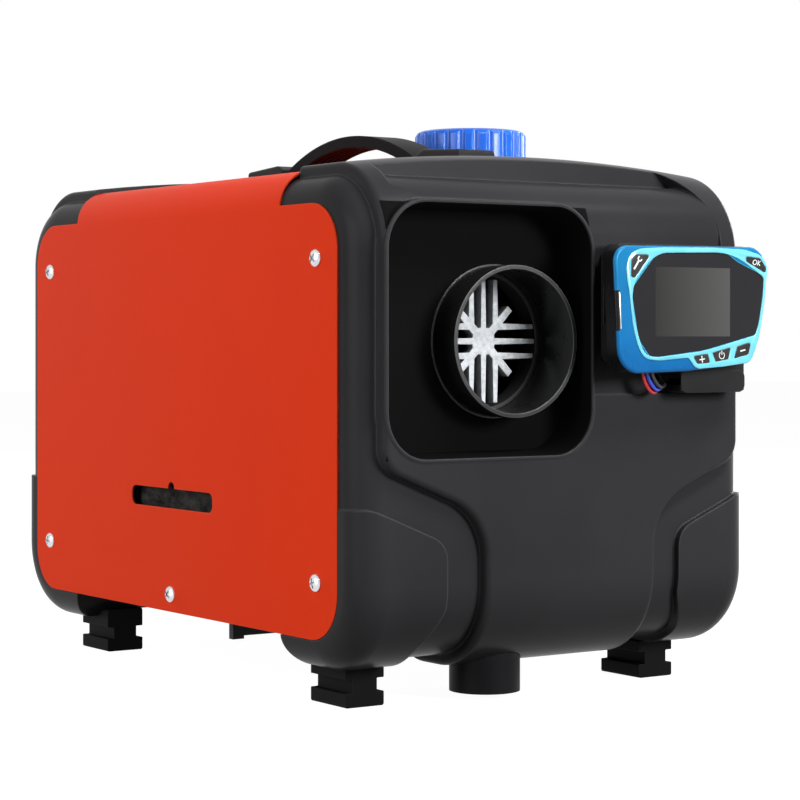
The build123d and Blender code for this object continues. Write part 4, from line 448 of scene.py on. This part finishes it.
# --- Air outlet, grille and ducts ----------------------------------------------------------------
# The outlet tube, the rear grille, the silencer and the cable gland are satin black nylon. The
# combustion air comes through a ribbed rubber hose.
tube_nylon = finish("tube_nylon", ((0.012, 0.012, 0.012), (0.017, 0.017, 0.017)), patch=30.0,
                    rough=(0.24, 0.32), grain=1400.0, depth=0.00004, specular=0.30)
# The lighter edge tone on the tube is a painted highlight along its rims.
round_edges(tube_nylon, 0.0007, rub_and_highlight_tone=(0.12, 0.12, 0.12), rub_and_highlight_share=0.9)
dress(tube_nylon, "outlet_tube")
duct_nylon = finish("duct_nylon", ((0.004, 0.004, 0.0045), (0.008, 0.008, 0.009)), patch=26.0,
                    rough=(0.40, 0.50), grain=1300.0, depth=0.00006, specular=0.06)
round_edges(duct_nylon, 0.0008, rub_and_highlight_tone=(0.05, 0.05, 0.05), rub_and_highlight_share=0.6)
dress(duct_nylon, "inlet_grille", "intake_silencer", "power_gland")
hose_rubber = finish("hose_rubber", ((0.013, 0.013, 0.013), (0.020, 0.020, 0.019)), patch=40.0,
                     rough=(0.52, 0.66), grain=1000.0, depth=0.0001, specular=0.25)
parts, links = hose_rubber.node_tree.nodes, hose_rubber.node_tree.links
hoops = parts.new("ShaderNodeTexWave")
hoops.bands_direction = "Y"
hoops.inputs["Scale"].default_value = 95.0
ribs = parts.new("ShaderNodeBump")
ribs.inputs["Distance"].default_value = 0.0006
links.new(parts["Mapping"].outputs["Vector"], hoops.inputs["Vector"])
links.new(hoops.outputs["Fac"], ribs.inputs["Height"])
links.new(ribs.outputs["Normal"], parts["grain"].inputs["Normal"])
dress(hose_rubber, "intake_hose")

# --- Controller housing --------------------------------------------------------------------------
# A matt black back case stands on a bracket with a lug below it. The front frame's face is lacquered
# metallic blue, painted deeper towards its foot and paler towards its top as painted shade and light. Its
# skirt and the notch for the left spring clip are coloured near black.
dress(block_plastic, "controller_case", "controller_bracket")
bezel_paint = finish("bezel_blue", ((0.0032, 0.120, 0.30), (0.0045, 0.155, 0.38)), patch=35.0,
                     rough=(0.24, 0.32), grain=1100.0, depth=0.00003, metallic=0.1, specular=0.08)
# The pale cyan edge tone is a painted highlight along the frame's rims.
round_edges(bezel_paint, 0.0009, rub_and_highlight_tone=(0.09, 0.58, 0.80), rub_and_highlight_share=0.9)
shade_ramp_z, foot_shade_colour, top_light_colour = (0.160, 0.222), (0.6, 0.75, 0.90), (1.5, 1.25, 1.10)
skirt_y, notch_x, notch_z = (-0.2036, -0.1900), (0.0, 0.0128), (0.1800, 0.1995)
near_black_tone = (0.010, 0.010, 0.011)
parts, links = bezel_paint.node_tree.nodes, bezel_paint.node_tree.links
axis = axes(parts, links)
# The face is painted paler towards its top and deeper towards its foot: painted light and shade.
shade_ramp = parts.new("ShaderNodeValToRGB")
shade_ramp.color_ramp.elements[0].color = (*foot_shade_colour, 1.0)
shade_ramp.color_ramp.elements[1].color = (*top_light_colour, 1.0)
links.new(spread(parts, links, axis["Z"], *shade_ramp_z), shade_ramp.inputs["Fac"])
shade = parts.new("ShaderNodeMix")
shade.data_type = "RGBA"
shade.blend_type = "MULTIPLY"
shade.inputs["Factor"].default_value = 1.0
links.new(parts["Mix"].outputs[2], shade.inputs[6])
links.new(shade_ramp.outputs["Color"], shade.inputs[7])
# The skirt and the clip notch are coloured near black.
skirt = within(parts, links, ((axis["Y"], *skirt_y),))
notch = within(parts, links, ((axis["X"], *notch_x), (axis["Z"], *notch_z)))
plain = parts.new("ShaderNodeMath")
plain.operation = "MAXIMUM"
links.new(skirt, plain.inputs[0])
links.new(notch, plain.inputs[1])
skirt_and_notch_colour = overlay(parts, links, plain.outputs["Value"], shade.outputs[2], near_black_tone)
links.new(skirt_and_notch_colour, settings(bezel_paint)["Base Color"])
settings(bezel_paint)["Coat Weight"].default_value = 0.06
settings(bezel_paint)["Coat Roughness"].default_value = 0.08
dress(bezel_paint, "controller_bezel")

# The bracket has a shoulder above its lug, which fills the gap up to the back case.
shoulder_size, shoulder_place = (0.0418, 0.0100, 0.0178), (0.0809, -0.18995, 0.1591)
shoulder = bmesh.new()
add_block(shoulder, shoulder_size, shoulder_place)
bmesh.ops.bevel(shoulder, geom=shoulder.edges[:], offset=0.0005, offset_type="OFFSET", affect="EDGES",
                segments=2, profile=0.5, material=-1)
smooth_edges(add_piece("bracket_shoulder", shoulder, block_plastic, "case"), 50)

# --- Controller glass ----------------------------------------------------------------------------
# A flat pane printed dark grey from behind, with a clear window over the display. The display is off
# and shows as a slightly lighter field.
pane = finish("printed_pane", ((0.017, 0.017, 0.0195), (0.020, 0.020, 0.0225)), patch=20.0,
              rough=(0.12, 0.16), grain=600.0, depth=0.00001, specular=0.07)
window_x, window_z = (0.0351, 0.0832), (0.1774, 0.2112)
field_left, field_right = (0.028, 0.028, 0.0275), (0.068, 0.068, 0.066)
parts, links = pane.node_tree.nodes, pane.node_tree.links
axis = axes(parts, links)
inside = within(parts, links, ((axis["X"], *window_x), (axis["Z"], *window_z)))
field = parts.new("ShaderNodeValToRGB")
field.color_ramp.elements[0].color = (*field_left, 1.0)
field.color_ramp.elements[1].color = (*field_right, 1.0)
links.new(spread(parts, links, axis["X"], *window_x), field.inputs["Fac"])
window = overlay(parts, links, inside, parts["tones"].outputs["Color"], field.outputs["Color"])
links.new(window, settings(pane)["Base Color"])
face_x, face_z, face_width, face_height = 0.009, 0.159, 0.100, 0.064
millimetre, longest_reach, corner_steps = 0.001, 0.48, 6


def on_controller(u, v):
    """Point of the controller's face, from hundredths of its width and height to metres."""
    return Vector((face_x + face_width * u / 100, 0.0, face_z + face_height * v / 100))


def cut_plate(points, radii, front, back, grow=0.0):
    """Closed bmesh of an outline with its corners rounded to their radii in millimetres."""
    plate = bmesh.new()
    corners = [plate.verts.new(on_controller(u, v)) for u, v in points]
    plate.faces.new(corners)
    reaches = []
    for corner, radius in zip(corners, radii):
        ways = [edge.other_vert(corner).co - corner.co for edge in corner.link_edges]
        reach = millimetre * radius / math.tan(ways[0].angle(ways[1]) / 2)
        reaches.append(min(reach, longest_reach * min(way.length for way in ways)))
    for corner, reach in zip(corners, reaches):
        bmesh.ops.bevel(plate, geom=[corner], offset=reach, offset_type="OFFSET", affect="VERTICES",
                        segments=corner_steps, profile=0.5, material=-1)
    if grow:
        bmesh.ops.inset_individual(plate, faces=plate.faces[:], thickness=-grow, use_even_offset=True)
        middle = max(plate.faces, key=lambda face: len(face.verts))
        spare = [face for face in plate.faces if face != middle]
        bmesh.ops.delete(plate, geom=spare, context="FACES")
    bmesh.ops.translate(plate, vec=(0, front, 0), verts=plate.verts[:])
    raised = bmesh.ops.extrude_face_region(plate, geom=plate.faces[:])["geom"]
    raised = [part for part in raised if isinstance(part, bmesh.types.BMVert)]
    bmesh.ops.translate(plate, vec=(0, back - front, 0), verts=raised)
    bmesh.ops.recalc_face_normals(plate, faces=plate.faces[:])
    return plate


pane_points = [(30.4, 92.4), (68.4, 93.7), (77.6, 90.8), (84.9, 85.3), (96.6, 75.2), (95.9, 60.0),
               (93.2, 39.0), (91.0, 29.6), (57.7, 17.5), (27.3, 12.7), (19.5, 14.4), (16.2, 23.0),
               (13.2, 37.0), (10.9, 57.7), (12.1, 68.7), (22.7, 87.3)]
pane_radii = [16, 40, 40, 40, 3, 60, 20, 3.5, 90, 30, 8, 20, 60, 40, 30, 30]
pane_front, pane_back = -0.2049, -0.2036
front_pane = add_piece("front_pane", cut_plate(pane_points, pane_radii, pane_front, pane_back), pane, "case")
smooth_edges(front_pane)
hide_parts("controller_glass")
display = finish("display_back", ((0.045, 0.046, 0.046), (0.060, 0.061, 0.061)), patch=30.0,
                 rough=(0.20, 0.30), grain=900.0, depth=0.00002, specular=0.4)
round_edges(display, 0.0003)
dress(display, "controller_screen")

# --- Trim plate ----------------------------------------------------------------------------------
# A low raised border of pale cyan runs round the pane and the keys, in one piece with the frame. It is
# broad at the corners that hold keys and narrow at the lower left. Its edges are softly rounded.
trim_lacquer = finish("trim_lacquer", ((0.10, 0.48, 0.60), (0.15, 0.56, 0.68)), patch=60.0,
                      rough=(0.18, 0.26), grain=900.0, depth=0.00002, specular=0.4)
settings(trim_lacquer)["Coat Weight"].default_value = 0.3
# The paler edge tone is a painted highlight along the border's rims.
round_edges(trim_lacquer, 0.0004, rub_and_highlight_tone=(0.42, 0.82, 0.88), rub_and_highlight_share=0.8)
trim_points = [(9.3, 62.0), (8.2, 70.0), (7.4, 79.0), (8.3, 86.4), (10.9, 91.9), (16.6, 95.1),
               (30.4, 96.3), (61.6, 97.2), (83.3, 96.4), (92.2, 93.4), (96.8, 89.5), (98.7, 84.0),
               (98.7, 78.0), (97.9, 70.5), (97.0, 55.2), (95.0, 40.0), (93.3, 28.5), (91.4, 21.0),
               (88.6, 11.5), (85.8, 8.3), (69.6, 5.4), (53.4, 3.9), (50.6, 5.6), (46.8, 12.5),
               (27.3, 10.2), (18.6, 12.0), (14.8, 21.0), (11.7, 35.0)]
trim_radii = [20, 20, 9, 6, 6, 12, 40, 60, 20, 8, 4, 4, 6, 20,
              60, 30, 20, 12, 4, 4, 60, 3, 3, 2, 40, 8, 20, 40]
trim_front, trim_back = -0.20535, -0.2040
overcut, key_gap = 0.001, 0.00012
trim_edge_round, steep_edge, rim_band = 0.0003, 60, 0.0001
key_outlines = (
    ([(10.6, 87.2), (13.6, 90.5), (22.4, 90.5), (12.6, 72.8), (10.2, 73.8)], [2.5, 3.5, 1.0, 2.0, 2.0]),
    ([(84.4, 91.3), (94, 90), (98, 82.5), (97.5, 78.4), (84.6, 87.3)], [1, 2, 1.5, 1, 1]),
    ([(49.6, 13.6), (59.2, 15.2), (60.7, 8.4), (52.4, 7.7)], [0.8, 0.6, 0.6, 1.5]),
    ([(62.2, 16.1), (74.3, 20.2), (72.6, 11.1), (64.4, 9.2)], [0.6] * 4),
    ([(78.6, 20.8), (87.9, 24.4), (86.1, 14.7), (76.5, 11.6)], [0.6, 1.2, 1.2, 0.6]),
)
openings = bmesh.new()
cutters = [cut_plate(pane_points, pane_radii, trim_front - overcut, trim_back + overcut)]
for points, radii in key_outlines:
    cutters.append(cut_plate(points, radii, trim_front - overcut, trim_back + overcut, key_gap))
for cutter in cutters:
    part = bpy.data.meshes.new("cutter")
    cutter.to_mesh(part)
    cutter.free()
    openings.from_mesh(part)
trim = bmesh.new()
trim.from_mesh(punch_out(cut_plate(trim_points, trim_radii, trim_front, trim_back), openings))
bmesh.ops.remove_doubles(trim, verts=trim.verts[:], dist=2 * weld)
rims = [edge for edge in trim.edges if edge.calc_face_angle(0.0) > math.radians(steep_edge)
        and max(vert.co.y for vert in edge.verts) < trim_front + rim_band]
bmesh.ops.bevel(trim, geom=rims, offset=trim_edge_round, offset_type="OFFSET", affect="EDGES", segments=2,
                profile=0.5, material=-1, clamp_overlap=True)
smooth_edges(add_piece("trim_plate", trim, trim_lacquer, "case"), 30)

# --- Keys ----------------------------------------------------------------------------------------
# Five small keys of glossy black plastic stand in the frame. Each carries a white printed mark:
# a spanner for the settings, OK, plus, power and minus.
key_plastic = finish("key_plastic", ((0.010, 0.010, 0.010), (0.030, 0.030, 0.031)), patch=140.0,
                     rough=(0.18, 0.26), grain=900.0, depth=0.00002, specular=0.25)
round_edges(key_plastic, 0.0006, rub_and_highlight_tone=(0.22, 0.22, 0.22), rub_and_highlight_share=0.7)
dress(key_plastic, "button_settings", "button_ok", "button_plus", "button_power", "button_minus")
print_white = finish("key_print", ((0.70, 0.70, 0.70), (0.85, 0.85, 0.85)), patch=120.0, rough=(0.35, 0.45),
                     grain=1500.0, depth=0.00001, specular=0.3)
mark_y, print_thickness = -0.20538, 0.00008
plus_place, power_place, minus_place = (0.0645, 0.1661), (0.0774, 0.1680), (0.0913, 0.1704)
ok_place, spanner_place = (0.1003, 0.2142), (0.0232, 0.2128)
bar_length, plus_width, minus_width, arc_start_depth = 0.0034, 0.0006, 0.0007, 0.00001
mark = bmesh.new()
for turn in (-8, 82):
    add_block(mark, (bar_length, print_thickness, plus_width), (plus_place[0], mark_y, plus_place[1]), turn)
add_piece("mark_plus", mark, print_white, "plus_key")
mark = bmesh.new()
add_block(mark, (bar_length, print_thickness, minus_width), (minus_place[0], mark_y, minus_place[1]), -12)
add_piece("mark_minus", mark, print_white, "minus_key")


def add_arc(sheet, place, radius, width, start, sweep):
    """Adds a flat printed arc round a place on the keys, from start degrees over sweep degrees."""
    bar = add_block(sheet, (width, print_thickness, arc_start_depth), (place[0] + radius, mark_y, place[1]))
    centre = (place[0], mark_y, place[1])
    bmesh.ops.rotate(sheet, cent=centre, matrix=Matrix.Rotation(math.radians(-start), 3, "Y"), verts=bar)
    bar_faces = [face for face in sheet.faces if all(vert in bar for vert in face.verts)]
    side = max(bar_faces, key=lambda face: face.calc_area())
    loop = [side] + list(side.edges) + list(side.verts)
    bmesh.ops.spin(sheet, geom=loop, cent=centre, axis=(0, 1, 0), angle=math.radians(-sweep), steps=16)


power_line, power_stroke = 0.0004, 0.0020
mark = bmesh.new()
add_arc(mark, power_place, radius=0.0017, width=power_line, start=125, sweep=290)
stroke_place = (power_place[0], mark_y, power_place[1] + 0.0013)
add_block(mark, (power_line, print_thickness, power_stroke), stroke_place)
add_piece("mark_power", mark, print_white, "power_key")
shank_width, shank_length, shank_lean = 0.0010, 0.0052, 35
shank_place = (spanner_place[0] - 0.0006, mark_y, spanner_place[1] - 0.0009)
jaw_place = (spanner_place[0] + 0.0016, spanner_place[1] + 0.0021)
mark = bmesh.new()
add_block(mark, (shank_width, print_thickness, shank_length), shank_place, shank_lean)
add_arc(mark, jaw_place, radius=0.0011, width=0.0007, start=100, sweep=250)
add_piece("mark_settings", mark, print_white, "settings_key")
lettering = bpy.data.curves.new("ok_lettering", "FONT")
lettering.body = "OK"
lettering.size, lettering.shear = 0.0038, 0.2
lettering.extrude = print_thickness / 2
lettering.align_x = "CENTER"
lettering.align_y = "CENTER"
holder = bpy.data.objects.new("ok_lettering", lettering)
scene.collection.objects.link(holder)
bpy.context.view_layer.update()
mark = bmesh.new()
mark.from_mesh(bpy.data.meshes.new_from_object(holder.evaluated_get(bpy.context.evaluated_depsgraph_get())))
bpy.data.objects.remove(holder)
stand = Matrix.Translation((ok_place[0], mark_y, ok_place[1])) @ Matrix.Rotation(math.radians(8), 4, "Y")
bmesh.ops.transform(mark, matrix=stand @ Matrix.Rotation(math.radians(90), 4, "X"), verts=mark.verts[:])
add_piece("mark_ok", mark, print_white, "ok_key")

# --- Spring clips --------------------------------------------------------------------------------
# A strip of bright spring steel is let into each side of the frame and holds its two halves
# together.
strip_size, strip_y, strip_round = (0.0007, 0.0016, 0.0178), -0.2045, 0.00018
for name, x, z, lean in (("left", 0.0128, 0.1898, 3.1), ("right", 0.1037, 0.1846, -11.0)):
    strip = bmesh.new()
    add_block(strip, strip_size, (x, strip_y, z), -lean)
    bmesh.ops.bevel(strip, geom=strip.edges[:], offset=strip_round, offset_type="OFFSET", affect="EDGES",
                    segments=2, profile=0.5, material=-1)
    smooth_edges(add_piece("spring_clip_" + name, strip, bright_zinc, "case"), 50)

# --- Controller lead -----------------------------------------------------------------------------
# Three soft PVC wires, red, blue and black, bow out of the back case and go down behind the lug. Their
# extruded sheaths are smooth and a little glossy. Each wire is told from the others by its own faces.
lead = bmesh.new()
lead.from_mesh(nodes["controller_wires"].data)
bmesh.ops.remove_doubles(lead, verts=lead.verts[:], dist=2 * weld)
unseen = set(lead.faces)
wires = []
while unseen:
    group, front_line = set(), [unseen.pop()]
    while front_line:
        face = front_line.pop()
        group.add(face)
        for edge in face.edges:
            for other in edge.link_faces:
                if other in unseen:
                    unseen.discard(other)
                    front_line.append(other)
    wires.append(group)
wires.sort(key=lambda group: min(vert.co.z for face in group for vert in face.verts))
for count, group in enumerate(wires):
    for face in group:
        face.material_index = min(count, 2)
sheath_tones = (("red", (0.48, 0.014, 0.019), (0.60, 0.022, 0.028)),
                ("blue", (0.028, 0.056, 0.48), (0.04, 0.095, 0.66)),
                ("black", (0.012, 0.012, 0.012), (0.02, 0.02, 0.02)))
sheaths = []
for colour, low, high in sheath_tones:
    sheaths.append(finish(colour + "_sheath", (low, high), patch=200.0, rough=(0.28, 0.36), grain=1500.0,
                          depth=0.00003, specular=0.5))
lead = add_piece("lead_wires", lead, sheaths[0], "case")
for sheath in sheaths[1:]:
    lead.data.materials.append(sheath)
smooth_edges(lead, 60)
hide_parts("controller_wires")

# --- Floor and light -----------------------------------------------------------------------------
# A pale floor and a white surround, lit by soft lamps: one in front, one over the crown and one on each
# other side. The floor and the surround are white only to the camera, in reflections and through glass.
floor_mesh = bpy.data.meshes.new("studio_floor")
studio_floor = bpy.data.objects.new("studio_floor", floor_mesh)
scene.collection.objects.link(studio_floor)
sketch = bmesh.new()
bmesh.ops.create_grid(sketch, x_segments=1, y_segments=1, size=6.0)
sketch.to_mesh(floor_mesh)
sketch.free()


def background_share(tree):
    """Node socket that is 1 for rays from the camera, from a reflection or through glass."""
    path = tree.nodes.new("ShaderNodeLightPath")
    share = path.outputs["Is Camera Ray"]
    for ray in ("Is Glossy Ray", "Is Transmission Ray"):
        either = tree.nodes.new("ShaderNodeMath")
        either.operation = "MAXIMUM"
        tree.links.new(share, either.inputs[0])
        tree.links.new(path.outputs[ray], either.inputs[1])
        share = either.outputs["Value"]
    return share


floor_tone, floor_seen_tone, floor_white = 0.14, 0.16, 0.97
floor_finish = bpy.data.materials.new("pale_floor")
floor_finish.use_nodes = True
tree = floor_finish.node_tree
tree.nodes.clear()
out = tree.nodes.new("ShaderNodeOutputMaterial")
paper = tree.nodes.new("ShaderNodeBsdfDiffuse")
paper.inputs["Color"].default_value = (floor_tone, floor_tone, floor_tone, 1.0)
shaded = tree.nodes.new("ShaderNodeBsdfDiffuse")
shaded.inputs["Color"].default_value = (floor_seen_tone, floor_seen_tone, floor_seen_tone, 1.0)
white = tree.nodes.new("ShaderNodeEmission")
white.inputs["Strength"].default_value = floor_white
seen = tree.nodes.new("ShaderNodeAddShader")
mix = tree.nodes.new("ShaderNodeMixShader")
tree.links.new(shaded.outputs["BSDF"], seen.inputs[0])
tree.links.new(white.outputs["Emission"], seen.inputs[1])
tree.links.new(background_share(tree), mix.inputs["Fac"])
tree.links.new(paper.outputs["BSDF"], mix.inputs[1])
tree.links.new(seen.outputs["Shader"], mix.inputs[2])
tree.links.new(mix.outputs["Shader"], out.inputs["Surface"])
floor_mesh.materials.append(floor_finish)

fill_light = 0.07
world = bpy.data.worlds.new("white_surround")
scene.world = world
world.use_nodes = True
tree = world.node_tree
tree.nodes.clear()
out = tree.nodes.new("ShaderNodeOutputWorld")
seen = tree.nodes.new("ShaderNodeBackground")
seen.inputs["Color"].default_value = (1.0, 1.0, 1.0, 1.0)
seen.inputs["Strength"].default_value = 1.0
light = tree.nodes.new("ShaderNodeBackground")
light.inputs["Color"].default_value = (1.0, 1.0, 1.0, 1.0)
light.inputs["Strength"].default_value = fill_light
mix = tree.nodes.new("ShaderNodeMixShader")
tree.links.new(background_share(tree), mix.inputs["Fac"])
tree.links.new(light.outputs["Background"], mix.inputs[1])
tree.links.new(seen.outputs["Background"], mix.inputs[2])
tree.links.new(mix.outputs["Shader"], out.inputs["Surface"])


def soft_lamp(name, place, target, width, height, power, mirrored=True):
    """Rectangular lamp at a place, facing a target; it shows in reflections where mirrored is set."""
    lamp = bpy.data.lights.new(name, "AREA")
    lamp.shape = "RECTANGLE"
    lamp.size = width
    lamp.size_y = height
    lamp.energy = power
    holder = bpy.data.objects.new(name, lamp)
    holder.location = place
    holder.visible_glossy = mirrored
    way = Vector(target) - Vector(place)
    holder.rotation_euler = way.to_track_quat("-Z", "Y").to_euler()
    scene.collection.objects.link(holder)


soft_lamp("over_lamp", (0.22, -0.66, 0.95), (0, -0.17, 0.25), width=0.8, height=0.16, power=9)
soft_lamp("left_lamp", (-1.9, -0.2, 0.6), (0, 0, 0.12), width=1.2, height=1.2, power=25)
soft_lamp("right_lamp", (1.8, 0.3, 0.6), (0, 0, 0.15), width=0.4, height=0.9, power=20)
soft_lamp("back_lamp", (-0.3, 1.9, 0.7), (0, 0, 0.15), width=1.2, height=1.2, power=22, mirrored=False)
soft_lamp("front_lamp", (0.34, -1.06, 0.42), (0, -0.18, 0.18), width=0.30, height=0.30, power=10)
